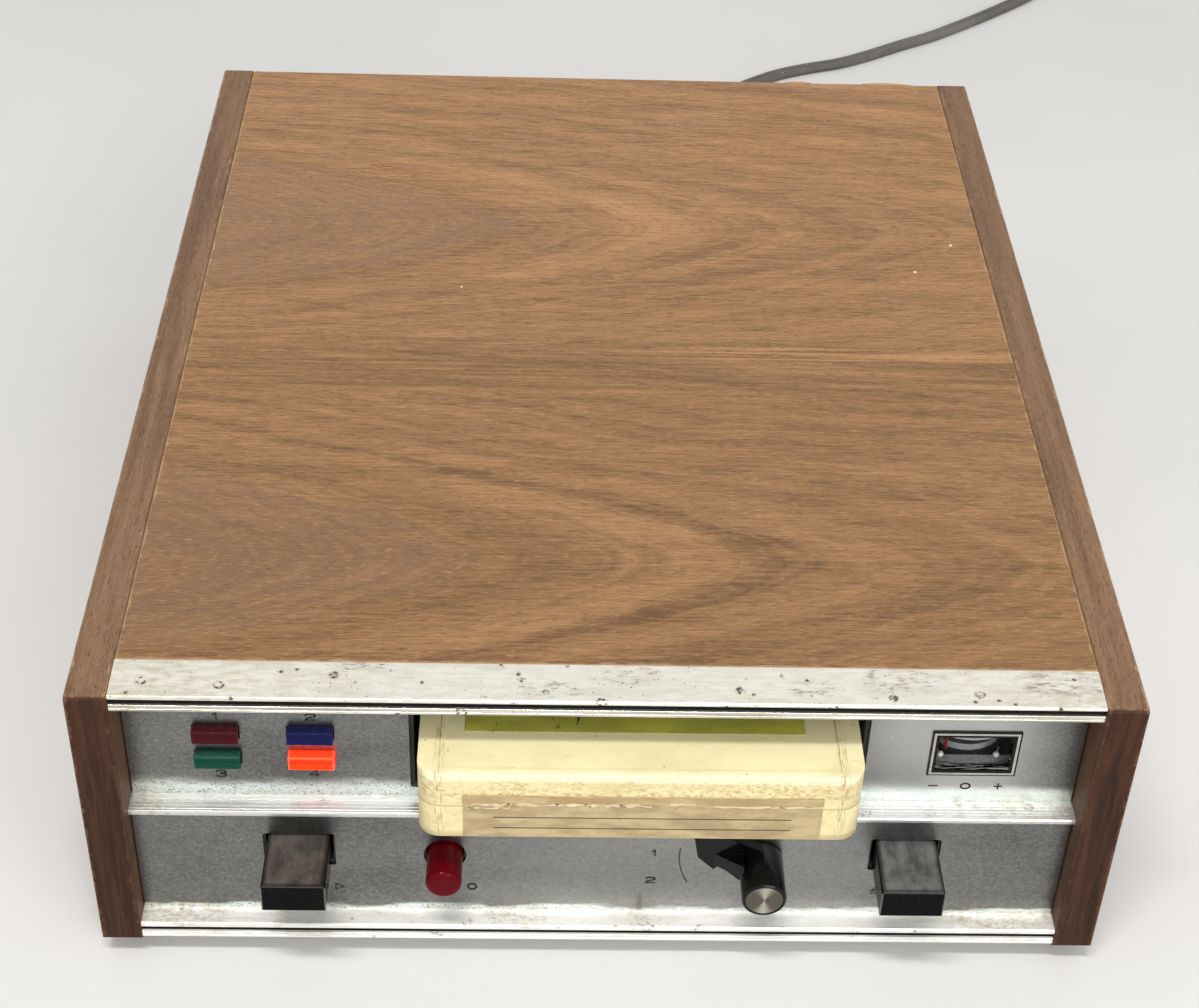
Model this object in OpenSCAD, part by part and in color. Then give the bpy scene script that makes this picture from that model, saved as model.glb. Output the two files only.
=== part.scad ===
// Home eight-track tape recorder deck: wooden case, stepped aluminium front, tape transport
// and a cartridge in its slot. Millimetres, +Z up, front towards -Y, origin under the middle
// of the deck (controls included, mains lead left out) on the surface that it stands on.

/* [Case] */
// Width over the two side boards
case_w = 242; // [238:1:250]
// Depth of the side boards
case_d = 295; // [290:1:310]
// Height of the side boards
case_h = 82.5; // [82:0.5:86]
// Thickness of a side board
board_t = 9.5; // [8:0.5:10]
// Thickness of the top panel
panel_t = 8.5; // [6:0.5:9]
// Clearance under the side boards
foot_lift = 5; // [3:0.5:8]
// How far the longest button stands in front of the side boards
front_reach = 10; // [8:0.5:12]

/* [Front] */
// Depth of the upper faceplate behind the side boards' front
upper_depth = 10; // [9:0.5:11]
// Depth of the lower faceplate behind the side boards' front
lower_depth = 5.9; // [5.5:0.1:6.5]
// Height of the middle ledge above the boards' bottom
ledge_h = 42.1; // [41:0.1:43]
// Thickness of the faceplates
plate_t = 1.2; // [1:0.1:1.5]
// Depth of the top trim's flange
flange_d = 12.4; // [11.5:0.1:14]
// Width of the cartridge slot
slot_w = 106.6; // [105:0.1:108]
// Height of the cartridge slot
slot_h = 24.6; // [24:0.1:25]
// Sideways place of the slot's centre
slot_x = 7.5; // [5:0.5:8]

/* [Controls] */
// Width of a push button
button_w = 15; // [12:0.5:16]
// Height of a push button
button_h = 8.8; // [7:0.1:9.5]
// Sideways place of the two rectangular buttons, left and right
button_x = 72.5; // [70:0.5:74]
// Travel of the rectangular buttons
button_travel = 4; // [2:0.5:4]
// Diameter of the record button
record_d = 8.6; // [7:0.1:9]
// Diameter of the function knob's grip
knob_d = 10.6; // [9:0.1:12]
// Height of the controls' centre line above the boards' bottom
control_h = 27.6; // [26:0.1:29]

/* [Cartridge] */
// Width of a cartridge
cart_w = 101.6; // [101:0.1:102]
// Length of a cartridge
cart_d = 133.3; // [132:0.1:134]
// Thickness of a cartridge
cart_t = 20; // [19:0.1:20.5]
// How far the cartridge stands in front of the side boards
cart_reach = 6.2; // [5:0.1:8]
// Wall of the cartridge shell
cart_wall = 1.6; // [1.2:0.1:2]

/* [Mains lead] */
// Width of the flat two-core lead
cord_w = 5.8; // [5.5:0.1:6]
// Thickness of the flat lead
cord_t = 3; // [2.6:0.1:3.2]
// Number of loops in the stored coil
coil_loops = 7; // [4:1:8]
// Distance between neighbouring loops
coil_pitch = 6.4; // [6.3:0.1:7]
// Radius of the innermost loop
coil_inner_r = 22; // [20:1:26]

/* [Hidden] */
$fn = 48;
front_y = -(case_d - front_reach) / 2;
inner_x = case_w / 2 - board_t;
tiny = 0.01;

// ---- helpers -------------------------------------------------------------------------------

// Case coordinates: depth from the boards' front, height from the boards' bottom
module in_case()
  translate([0, front_y, foot_lift]) children();

// A profile drawn as (depth, height), run sideways from x0 to x1
module along_x(x0, x1)
  translate([x0, 0, 0]) rotate([90, 0, 90]) linear_extrude(x1 - x0) children();

// An outline drawn as (sideways, height), run in depth from y0 to y1
module along_y(y0, y1)
  translate([0, y1, 0]) rotate([90, 0, 0]) linear_extrude(y1 - y0) children();

// An outline drawn as (sideways, depth), run up from z0 to z1
module along_z(z0, z1)
  translate([0, 0, z0]) linear_extrude(z1 - z0) children();

module block(low, high)
  translate(low) cube(high - low);

module rounded_rect(w, h, r)
{
  square([w - 2 * r, h], center = true);
  square([w, h - 2 * r], center = true);
  for (sx = [-1, 1], sz = [-1, 1])
    translate([sx * (w / 2 - r), sz * (h / 2 - r)]) circle(r);
}

// A rectangle with cut corners
module eased_rect(w, h, c)
  polygon([[-w / 2 + c, -h / 2], [w / 2 - c, -h / 2], [w / 2, -h / 2 + c], [w / 2, h / 2 - c],
    [w / 2 - c, h / 2], [-w / 2 + c, h / 2], [-w / 2, h / 2 - c], [-w / 2, -h / 2 + c]]);

module rod_y(x, z, d, y0, y1)
  translate([x, y1, z]) rotate([90, 0, 0]) cylinder(d = d, h = y1 - y0);

// ---- wooden case ---------------------------------------------------------------------------

board_drop = 0.4;
board_ease = 1.2;
board_round = 2;

module side_board(side)
{
  profile = [[0, board_round], [board_round, 0], [case_d - board_ease, 0], [case_d, board_ease],
    [case_d, case_h - board_ease], [case_d - board_ease, case_h], [flange_d - 1.4, case_h],
    [0.9, case_h - board_drop], [0, case_h - board_drop - 1]];
  color([0.33, 0.2, 0.13])
  in_case()
    intersection()
    {
      along_x(side * (case_w / 2 - board_t / 2) - board_t / 2, side * (case_w / 2 - board_t / 2) + board_t / 2)
        polygon(profile);
      translate([side * (case_w / 2 - board_t / 2), 0, case_h / 2])
        along_y(-1, case_d + 1) eased_rect(board_t, case_h, 0.6);
    }
}

panel_rear = case_d - 1;

module top_panel()
  color([0.42, 0.27, 0.17])
  in_case()
    along_x(-inner_x, inner_x)
      polygon([[flange_d, case_h - panel_t], [panel_rear, case_h - panel_t], [panel_rear, case_h - 0.5],
        [panel_rear - 0.5, case_h], [flange_d, case_h]]);

cleat_w = 12;
cleat_h = 12;
cleat_z = case_h - panel_t;

// Two softwood strips that join the top panel to the side boards
module top_cleats()
  color([0.72, 0.58, 0.4])
  in_case()
    for (side = [-1, 1])
      translate([side * (inner_x - cleat_w / 2), 0, cleat_z - cleat_h / 2])
        along_y(30, case_d - 15) eased_rect(cleat_w, cleat_h, 1);

base_z = 1.7;
base_t = 1.2;
base_rear = 292;
foot_x = 95;
foot_front = 30;
foot_rear = 268;
vent_w = 3;
vent_l = 36;

// Steel base plate with upturned sides, cooling slots and screw holes
module bottom_cover()
  color([0.3, 0.3, 0.32])
  in_case()
    difference()
    {
      union()
      {
        block([-inner_x, flange_d + 0.2, base_z], [inner_x, base_rear, base_z + base_t]);
        for (side = [-1, 1])
          translate([side * (inner_x - base_t / 2), 0, 0])
            block([-base_t / 2, 24, base_z + base_t - tiny], [base_t / 2, base_rear - 20, base_z + 12]);
      }
      for (i = [-4:4])
        translate([i * 9, 232, 0])
          along_z(base_z - 1, base_z + base_t + 1) rounded_rect(vent_w, vent_l, 1.4);
      for (x = [-foot_x, foot_x], y = [foot_front, foot_rear])
        translate([x, y, base_z - 1]) cylinder(d = 3.4, h = base_t + 2);
    }

rear_t = 1.5;
rear_top = case_h - panel_t;
jack_x = [-88, -70, -46, -28];
jack_h = 34;
lead_x = 30;
lead_h = 20;

// Steel back with the jack holes, the lead's hole and rows of cooling slots
module rear_panel()
  color([0.1, 0.1, 0.11])
  in_case()
    difference()
    {
      block([-inner_x, base_rear - rear_t, base_z + base_t], [inner_x, base_rear, rear_top]);
      for (x = jack_x)
        rod_y(x, jack_h, 9, base_rear - 5, base_rear + 5);
      rod_y(lead_x, lead_h, 11, base_rear - 5, base_rear + 5);
      for (i = [0:6], side = [0, 1])
        translate([46 + i * 9, 0, 28 + side * 24])
          along_y(base_rear - 5, base_rear + 5) rounded_rect(3, 18, 1.4);
    }

foot_d = 16;

module rubber_feet()
  color([0.06, 0.06, 0.06])
  in_case()
    for (x = [-foot_x, foot_x], y = [foot_front, foot_rear])
      translate([x, y, -foot_lift])
        rotate_extrude()
          polygon([[2.6, 0], [foot_d / 2 - 1.5, 0], [foot_d / 2 - 0.4, 1], [foot_d / 2, foot_lift + base_z],
            [1.7, foot_lift + base_z], [1.7, 4], [2.6, 4]]);

// Pan-head screws: four through the feet into the base, five along the back
module case_screws()
  color([0.6, 0.6, 0.62])
  in_case()
  {
    for (x = [-foot_x, foot_x], y = [foot_front, foot_rear])
      translate([x, y, 0])
        rotate_extrude()
          polygon([[0, -2.6], [2.5, -2.6], [2.5, -1.02], [1.6, -1.02], [1.6, 8], [0, 8]]);
    for (p = [[-100, 12], [100, 12], [-100, 66], [100, 66], [0, 66]])
      translate([p[0], base_rear, p[1]]) rotate([-90, 0, 0])
        rotate_extrude()
          polygon([[0, 0], [2.8, 0], [2.4, 1.1], [1.4, 1.8], [0, 2]]);
  }

// ---- aluminium front -----------------------------------------------------------------------

lip = 0.5;
nose_back = 4.6;
leg_front = 8.5;
leg_back = upper_depth;
rib_1 = 1.3;
rib_2 = 2.9;
nose_h = 5.1;
groove_d = 2;

// Extruded top trim: sloping flange, nose with a groove, and a leg in front of the faceplate
module top_trim()
  color([0.78, 0.78, 0.78])
  in_case()
    along_x(-inner_x, inner_x)
      translate([0, case_h])
        polygon([[flange_d, 0], [flange_d - 1.4, 0], [lip + 0.4, -board_drop], [lip, -board_drop - 0.4],
          [lip, -rib_1], [lip + groove_d, -rib_1], [lip + groove_d, -rib_2], [lip, -rib_2], [lip, -3.8],
          [lip + 0.35, -4], [lip, -4.2], [lip, -nose_h + 0.4], [lip + 0.4, -nose_h], [nose_back, -nose_h],
          [nose_back, -1.5], [leg_front, -1.5], [leg_front, -9], [leg_back, -9], [leg_back, -1.5],
          [flange_d, -1.5]]);

low_top = 6.8;

// Extruded bottom trim: the lower ledge, the same grooved nose, and the flange under the base
module bottom_trim()
  color([0.78, 0.78, 0.78])
  in_case()
    along_x(-inner_x, inner_x)
      polygon([[flange_d, base_z], [lip + 0.4, base_z], [lip, base_z + 0.4], [lip, base_z + 0.9],
        [lip + 0.35, base_z + 1.1], [lip, base_z + 1.3], [lip, base_z + 2.2], [lip + groove_d, base_z + 2.2],
        [lip + groove_d, base_z + 3.8], [lip, base_z + 3.8], [lip, low_top - 0.4], [lip + 0.4, low_top],
        [lower_depth + plate_t, low_top], [lower_depth + plate_t, low_top + 6], [leg_front, low_top + 6],
        [leg_front, low_top - 1.5], [nose_back, low_top - 1.5], [nose_back, base_z + 1.5],
        [flange_d, base_z + 1.5]]);

// Black filler strips in the two grooves
module groove_strips()
  color([0.03, 0.03, 0.03])
  in_case()
    for (z = [case_h - rib_2, base_z + 2.2])
      block([-inner_x, lip + 0.7, z], [inner_x, lip + groove_d, z + rib_2 - rib_1]);

ledge_lip = 4;
ledge_t = 1.7;
flutes = 4;
flute_step = 1;
flute_depth = 0.1;
flute_reach = 0.15;

// Fluted moulding between the faceplates; its lip overhangs the lower one
module mid_ledge()
  color([0.82, 0.82, 0.82])
  in_case()
    along_x(-inner_x, inner_x)
      polygon(concat([[upper_depth + 1.6, ledge_h]],
        [for (i = [0:flutes - 1], s = [1, 0, -1])
          [ledge_lip + 1 + flute_step * (flutes - 1 - i) + flute_reach * s, ledge_h - (s == 0 ? flute_depth : 0)]],
        [[ledge_lip + 0.4, ledge_h], [ledge_lip, ledge_h - 0.4], [ledge_lip, ledge_h - 1.2],
          [ledge_lip + 0.4, ledge_h - ledge_t], [lower_depth + plate_t, ledge_h - ledge_t],
          [lower_depth + plate_t, ledge_h - 6], [leg_front, ledge_h - 6], [leg_front, ledge_h - ledge_t],
          [upper_depth + 1.6, ledge_h - ledge_t]]));

plate_gap = 0.3;
slot_z = 44.9;
lamp_x = [-90.2, -68.5];
lamp_z = [62.4, 54.4];
lens_w = 10.6;
lens_h = 4;
lens_fit = 0.15;
meter_x = 85.9;
meter_z = 58.2;
meter_w = 21;
meter_h = 14.2;

function lamp_place(i) = [lamp_x[i % 2], lamp_z[floor(i / 2)]];

// Upper faceplate with the slot, four lamp windows and the meter's window
module faceplate_upper()
  color([0.6, 0.61, 0.62])
  in_case()
    difference()
    {
      block([-inner_x + plate_gap, upper_depth, ledge_h], [inner_x - plate_gap, upper_depth + plate_t, case_h - 2]);
      translate([slot_x, 0, slot_z + slot_h / 2])
        along_y(upper_depth - 1, upper_depth + plate_t + 1) rounded_rect(slot_w, slot_h, 0.8);
      for (i = [0:3])
        translate([lamp_place(i)[0], 0, lamp_place(i)[1]])
          along_y(upper_depth - 1, upper_depth + plate_t + 1)
            square([lens_w + 2 * lens_fit, lens_h + 2 * lens_fit], center = true);
      translate([meter_x, 0, meter_z])
        along_y(upper_depth - 1, upper_depth + plate_t + 1) square([meter_w - 1.6, meter_h - 1.6], center = true);
    }

record_x = -37.9;
record_z = 26.1;
knob_x = 37.8;
knob_z = 26.5;
hole_gap = 1;
shaft_d = 6;

// Lower faceplate with the two button openings, the record button's hole and the knob's hole
module faceplate_lower()
  color([0.6, 0.61, 0.62])
  in_case()
    difference()
    {
      block([-inner_x + plate_gap, lower_depth, low_top],
        [inner_x - plate_gap, lower_depth + plate_t, ledge_h - ledge_t]);
      for (side = [-1, 1])
        translate([side * button_x, 0, control_h])
          along_y(lower_depth - 1, lower_depth + plate_t + 1)
            rounded_rect(button_w + 2 * hole_gap, button_h + 2 * hole_gap, 0.8);
      rod_y(record_x, record_z, record_d + 1.6, lower_depth - 1, lower_depth + plate_t + 1);
      rod_y(knob_x, knob_z, shaft_d + 1, lower_depth - 1, lower_depth + plate_t + 1);
    }

// ---- lamps ---------------------------------------------------------------------------------

lens_reach = 2.4;
lens_flange = 1;

// A lens: a bar through the faceplate with a flange behind it
module lamp_lens(i, tint)
  color(tint)
  in_case()
    translate([lamp_place(i)[0], 0, lamp_place(i)[1]])
    {
      along_x(-lens_w / 2, lens_w / 2)
        polygon([[upper_depth + plate_t + tiny, -lens_h / 2], [upper_depth - lens_reach + 0.3, -lens_h / 2],
          [upper_depth - lens_reach, -lens_h / 2 + 0.3], [upper_depth - lens_reach, lens_h / 2 - 0.3],
          [upper_depth - lens_reach + 0.3, lens_h / 2], [upper_depth + plate_t + tiny, lens_h / 2]]);
      along_y(upper_depth + plate_t, upper_depth + plate_t + lens_flange)
        square([lens_w + 2, lens_h + 2], center = true);
    }

lamp_back = 34;
lamp_box_front = upper_depth + plate_t + lens_flange;

// Light box of four cells, one behind each lens
module lamp_housing()
  color([0.85, 0.84, 0.8])
  in_case()
    difference()
    {
      block([-98, lamp_box_front, 49.5], [-60.5, lamp_back, 67.5]);
      for (i = [0:3])
        translate([lamp_place(i)[0], 0, lamp_place(i)[1]])
          along_y(lamp_box_front - 1, lamp_back - 1.5) square([lens_w + 1, 6.4], center = true);
    }

bulb_d = 4.4;

module lamp_bulbs()
  color([0.9, 0.85, 0.7])
  in_case()
    for (i = [0:3])
      translate([lamp_place(i)[0], lamp_back - 1.5, lamp_place(i)[1]]) rotate([90, 0, 0])
        rotate_extrude()
          polygon(concat([[0, 0], [bulb_d / 2, 0]], [for (a = [0:15:90]) [bulb_d / 2 * cos(a), 10 + bulb_d / 2 * sin(a)]]));

// ---- level meter ---------------------------------------------------------------------------

dial_r = 11;
dial_y = 26;

// Bezel: a thin frame that stands just proud of the faceplate
module meter_bezel()
  color([0.12, 0.12, 0.12])
  in_case()
    translate([meter_x, 0, meter_z])
      difference()
      {
        union()
        {
          along_y(upper_depth - 0.4, upper_depth) square([meter_w, meter_h], center = true);
          along_y(upper_depth - tiny, upper_depth + plate_t + 1)
            square([meter_w - 1.8, meter_h - 1.8], center = true);
        }
        along_y(upper_depth - 1, upper_depth + plate_t + 2) square([meter_w - 3.4, meter_h - 3.4], center = true);
      }

module meter_window()
  color([0.8, 0.85, 0.85, 0.3])
  in_case()
    translate([meter_x, 0, meter_z])
      along_y(upper_depth + 0.4, upper_depth + 1.2) square([meter_w - 3.4, meter_h - 3.4], center = true);

meter_floor = -7.8;
needle_z = 4.2;

// Dial: an upright drum segment that stands on the housing's floor, curved round the needle's pivot
module meter_dial()
  color([0.75, 0.75, 0.72])
  in_case()
    translate([meter_x, dial_y, meter_z])
      difference()
      {
        along_z(meter_floor, needle_z - 0.8) circle(dial_r - 1.2);
        along_z(meter_floor - 1, needle_z - 1.8) circle(dial_r - 2.2);
        block([-dial_r, -3, meter_floor - 1], [dial_r, dial_r + 1, needle_z]);
      }

needle_rest = 30;
needle_pin = 1;

// Needle: an arm from the pivot over the dial, turned down in front of it as the pointer
module meter_needle()
  color([0.75, 0.1, 0.08])
  in_case()
    translate([meter_x, dial_y, meter_z]) rotate([0, 0, -needle_rest])
    {
      block([-0.3, -dial_r - 0.1, needle_z], [0.3, -0.9, needle_z + 0.5]);
      block([-0.3, -dial_r - 0.1, -5], [0.3, -dial_r + 0.5, needle_z + tiny]);
      difference()
      {
        translate([0, 0, needle_z - 0.4]) cylinder(d = 2.8, h = 1.2);
        translate([0, 0, needle_z - 1]) cylinder(d = needle_pin + 0.06, h = 3);
      }
    }

shelf_r = 20.8;
shelf_y = 12.6;
shelf_z = -5.9;
hoop_r = 14;
hoop_z = 1.8;

// Movement housing: an open-fronted box with the pivot's post, a bowed shelf below the scale and a hoop above it
module meter_housing()
  color([0.1, 0.1, 0.1])
  in_case()
    translate([meter_x, 0, meter_z])
    {
      difference()
      {
        block([-12.2, upper_depth + plate_t + 1, meter_floor - 0.8], [12.2, 44, 8.6]);
        block([-11.4, upper_depth, meter_floor], [11.4, 42, 7.8]);
      }
      translate([0, dial_y, meter_floor])
        rotate_extrude()
          polygon([[0, -tiny], [1.8, -tiny], [1.8, needle_z - 0.7 - meter_floor],
            [needle_pin / 2, needle_z - 0.7 - meter_floor], [needle_pin / 2, needle_z + 1.4 - meter_floor],
            [0, needle_z + 1.6 - meter_floor]]);
      along_z(meter_floor - tiny, shelf_z)
        intersection()
        {
          translate([0, shelf_y + shelf_r]) circle(shelf_r);
          translate([-11.4 - tiny, shelf_y]) square([22.8 + 2 * tiny, 3]);
        }
      along_z(hoop_z, hoop_z + 0.6)
        intersection()
        {
          translate([0, shelf_y + hoop_r])
            difference()
            {
              circle(hoop_r);
              circle(hoop_r - 1.2);
            }
          translate([-11.4 - tiny, shelf_y]) square([22.8 + 2 * tiny, 10]);
        }
    }

// ---- controls ------------------------------------------------------------------------------

button_front = -front_reach;
stem_w = 9;
stem_h = 5;
stem_back = 34;

// Push button: a wedge-topped cap with an arris at its front, on a stem behind the faceplate
module push_button(x, stem_end)
  color([0.05, 0.05, 0.05])
  in_case()
    translate([x, 0, control_h])
    {
      difference()
      {
        intersection()
        {
          along_y(button_front, lower_depth + 4) rounded_rect(button_w, button_h, 1.1);
          along_x(-button_w, button_w)
            polygon([[button_front + 0.8, -button_h / 2], [lower_depth + 5, -button_h / 2],
              [lower_depth + 5, button_h / 2], [button_front + 0.5, button_h / 2],
              [button_front, button_h / 2 - 0.5], [button_front, -button_h / 2 + 0.8]]);
        }
        block([-button_w / 2 + 1.4, button_front + 1.8, -button_h / 2 + 1.4],
          [button_w / 2 - 1.4, lower_depth + 5, button_h / 2 - 1.4]);
      }
      along_y(button_front + 1.7, stem_end) square([stem_w, stem_h], center = true);
    }

module record_button()
  color([0.4, 0.02, 0.05])
  in_case()
    translate([record_x, 0, record_z]) rotate([-90, 0, 0])
      rotate_extrude()
        polygon(concat([for (a = [90:-10:0]) [2.6 + 1.7 * cos(a), -2.9 - 1.4 * sin(a)]],
          [[record_d / 2, 13], [2.5, 13], [2.5, 36], [0, 36], [0, -4.3]]));

guide_front = lower_depth + plate_t;

// Moulded guides behind the faceplate: two for the rectangular stems, one round
module button_guides()
  color([0.2, 0.2, 0.2])
  in_case()
  {
    for (side = [-1, 1])
      translate([side * button_x, 0, control_h])
        difference()
        {
          block([-14, guide_front, -9], [14, guide_front + 20, 7]);
          along_y(guide_front - 1, guide_front + 12)
            square([button_w + 1, button_h + 1], center = true);
          along_y(guide_front, guide_front + 21) square([stem_w + 0.4, stem_h + 0.4], center = true);
        }
    difference()
    {
      rod_y(record_x, record_z, 15, guide_front, guide_front + 20);
      rod_y(record_x, record_z, record_d + 0.6, guide_front - 1, guide_front + 14);
      rod_y(record_x, record_z, 5.1, guide_front, guide_front + 21);
    }
  }

knob_front = -8.1;
lever_front = 2.6;
lever_back = 5.3;

// Function knob: round grip, pointer plate to the left with a web, and the switch shaft behind
module function_knob()
  color([0.04, 0.04, 0.04])
  in_case()
    translate([knob_x, 0, knob_z])
    {
      difference()
      {
        rod_y(0, 0, knob_d, knob_front + 0.4, lever_back);
        rod_y(0, 0, shaft_d - 0.02, lever_front, lever_back + 1);
      }
      translate([0, knob_front + 0.4, 0]) rotate([90, 0, 0])
        rotate_extrude() polygon([[4.5, 0], [knob_d / 2, 0], [knob_d / 2 - 0.4, 0.4], [4.5, 0.4]]);
      difference()
      {
        along_y(lever_front, lever_back)
          polygon([[0, -knob_d / 2], [-5.2, -4.6], [-10.2, 0.4], [-11.5, -0.9], [-15.4, 3.2], [-16.4, 9.2],
            [-11, 11.2], [0, knob_d / 2]]);
        rod_y(0, 0, knob_d - 1, 0, lever_back + 1);
      }
      difference()
      {
        along_z(0.6, 4.4) polygon([[-4.6, -1.6], [-11.5, lever_front + tiny], [-4.6, lever_front + tiny]]);
        rod_y(0, 0, knob_d - 1, -3, lever_back + 1);
      }
      rod_y(0, 0, shaft_d, lever_front, 15);
    }

module knob_inlay()
  color([0.75, 0.74, 0.72])
  in_case()
    translate([knob_x, knob_front + 0.4, knob_z]) rotate([90, 0, 0]) cylinder(d = 8.9, h = 0.25);

// Rotary switch: bushing, wafer frame and terminal ring
module function_switch()
  color([0.55, 0.5, 0.38])
  in_case()
    translate([knob_x, 0, knob_z])
      difference()
      {
        union()
        {
          rod_y(0, 0, 10, guide_front, 11);
          along_y(11, 12.5) eased_rect(24, 20, 3);
          rod_y(0, 0, 19, 12.5, 30);
          for (a = [15:30:345])
            rotate([0, a, 0]) block([8, 18, -0.8], [11.2, 18.8, 0.8]);
        }
        rod_y(0, 0, shaft_d + 0.1, guide_front - 1, 16);
      }

// ---- cartridge slot ------------------------------------------------------------------------

cart_z = slot_z + 0.8;
cart_front = -cart_reach;
cart_back = cart_front + cart_d;
guide_wall = 1.6;
throat_w = cart_w + 3;
throat_depth = 46;
throat_top = 71.6;
flap_y = 14.5;
flap_z = 68;
flap_l = 24;
flap_pin = 2.4;

// Throat that guides the cartridge, open in front, behind and above the flap
module slot_guide()
  color([0.05, 0.05, 0.05])
  in_case()
    translate([slot_x, 0, 0])
      difference()
      {
        along_y(upper_depth + plate_t, throat_depth)
          translate([0, (slot_z - 1.8 + throat_top + guide_wall) / 2])
            square([throat_w + 2 * guide_wall, throat_top + guide_wall - slot_z + 1.8], center = true);
        block([-throat_w / 2, upper_depth, slot_z + 0.4], [throat_w / 2, throat_depth + 1, throat_top]);
        translate([-throat_w, flap_y, flap_z]) rotate([0, 90, 0]) cylinder(d = flap_pin + 0.1, h = 2 * throat_w);
      }

// Dust flap, swung up and resting above the cartridge, with its hinge pin
module dust_flap()
  color([0.06, 0.06, 0.06])
  in_case()
    translate([slot_x, flap_y, flap_z])
    {
      block([-cart_w / 2, 0, -2], [cart_w / 2, flap_l, -0.8]);
      translate([-throat_w / 2 - 1.2, 0, 0]) rotate([0, 90, 0]) cylinder(d = flap_pin, h = throat_w + 2.4);
      block([-cart_w / 2, -flap_pin / 2, -2], [cart_w / 2, flap_pin / 2, 0]);
    }

// ---- cartridge -----------------------------------------------------------------------------

cart_mid = cart_z + cart_t / 2;
cart_round = 5;
mouth = 9;
notch_y = 34;
notch_r = 5;
capstan_x = 41;
capstan_y = 125.4;
roller_x = 41;
roller_y = 113.2;
roller_d = 20.4;
reel_x = slot_x;
reel_y = 42;
reel_d = 88;

// Outline of the cartridge in plan, drawn inwards by s
module cart_plan(s)
{
  w = cart_w - 2 * s;
  r = cart_round - s;
  translate([slot_x, (cart_front + cart_back) / 2])
    difference()
    {
      union()
      {
        translate([0, r / 2]) square([w, cart_d - 2 * s - r], center = true);
        square([w - 2 * r, cart_d - 2 * s], center = true);
        for (sx = [-1, 1])
          translate([sx * (w / 2 - r), -(cart_d / 2 - s - r)]) circle(r);
      }
      // notch in the right-hand edge for the locking roller
      translate([cart_w / 2 + 1.2 - s, notch_y]) circle(notch_r + s);
    }
}

// The three windows in the inner end: roller, head and sensing foil
module cart_windows(z0, z1)
{
  along_z(z0, z1)
  {
    translate([capstan_x - 13, cart_back - 16]) square([24, 20]);
    translate([slot_x - 18, cart_back - mouth]) square([26, 20]);
    translate([slot_x - 44, cart_back - mouth]) square([16, 20]);
  }
}

// Half shell: a floor and a wall, with windows at the inner end
module half_shell(outer_z, inner_z, wall_z)
{
  difference()
  {
    along_z(min(outer_z, wall_z), max(outer_z, wall_z)) cart_plan(0);
    along_z(min(inner_z, wall_z) - (wall_z < inner_z ? 1 : 0), max(inner_z, wall_z) + (wall_z > inner_z ? 1 : 0))
      cart_plan(cart_wall);
    cart_windows(min(inner_z, wall_z) + (wall_z < inner_z ? -1 : 0), max(inner_z, wall_z) + (wall_z < inner_z ? 0 : 1));
  }
}

label_sink = 0.5;
label_w = 90;
label_x = slot_x + 0.3;
rib_w = 1.1;
rib_step = 0.25;

// Upper shell: a shallow recess for the label between two narrow ribs, lowered ends and a bevelled front edge
module cartridge_top()
  color([0.93, 0.88, 0.68])
  in_case()
    difference()
    {
      half_shell(cart_z + cart_t, cart_z + cart_t - cart_wall, cart_mid);
      translate([label_x, cart_front + 2.2, 0])
        block([-label_w / 2, 0, cart_z + cart_t - label_sink], [label_w / 2, cart_d - 30, cart_z + cart_t + 1]);
      for (side = [-1, 1])
        translate([label_x + side * (label_w / 2 + rib_w + 5), (cart_front + cart_back) / 2 + 1, cart_z + cart_t])
          cube([10, cart_d - 2, 2 * rib_step], center = true);
      translate([0, 0, cart_z + cart_t])
        along_x(slot_x - cart_w, slot_x + cart_w)
          polygon([[cart_front - 1, -1.2], [cart_front + 1.2, 1], [cart_front - 1, 1]]);
    }

hub_post_d = 7;

// Lower shell with the reel's post, the roller's pin and the capstan's opening
module cartridge_bottom()
  color([0.93, 0.88, 0.68])
  in_case()
  {
    difference()
    {
      half_shell(cart_z, cart_z + cart_wall, cart_mid);
      translate([capstan_x, 0, 0])
        block([-4, capstan_y - 4, cart_z - 1], [4, cart_back + 1, cart_z + cart_wall + 1]);
    }
    translate([reel_x, reel_y, cart_z + cart_wall - tiny]) cylinder(d = hub_post_d, h = 12);
    translate([roller_x, roller_y, cart_z + cart_wall - tiny]) cylinder(d = 4, h = 14);
    for (p = [[-38, 100], [50, 62], [-38, 8]])
      translate([p[0], p[1], cart_z + cart_wall - tiny]) cylinder(d = 3.6, h = 8);
  }

spine_w = 82;

// Paper labels: one on the top face, one that wraps the spine
module cartridge_labels()
  color([0.8, 0.68, 0.48])
  in_case()
  {
    translate([label_x - 1.4, 8.2, cart_z + cart_t - label_sink])
      block([-39.2, 0, 0], [39.2, cart_d - 46, 0.15]);
    block([slot_x - spine_w / 2 + 0.6, cart_front - 0.15, cart_z + 0.4],
      [slot_x + spine_w / 2 + 0.6, cart_front, cart_z + 13.6]);
  }

module cartridge_roller()
  color([0.1, 0.1, 0.1])
  in_case()
    translate([roller_x, roller_y, cart_z + 3])
      difference()
      {
        cylinder(d = roller_d, h = 12);
        translate([0, 0, -1]) cylinder(d = 4.1, h = 14);
      }

// Reel: platform, hub and the wound tape
module tape_reel()
  color([0.25, 0.15, 0.1])
  in_case()
    translate([reel_x, reel_y, cart_z + 2.2])
      difference()
      {
        union()
        {
          cylinder(d = reel_d, h = 1.2);
          cylinder(d = 26, h = 9);
          difference()
          {
            translate([0, 0, 1.19]) cylinder(d = reel_d - 8, h = 6.6);
            translate([0, 0, 1.2]) cylinder(d = 29, h = 8);
          }
        }
        translate([0, 0, -1]) cylinder(d = hub_post_d + 0.1, h = 12);
      }

// ---- transport -----------------------------------------------------------------------------

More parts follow.
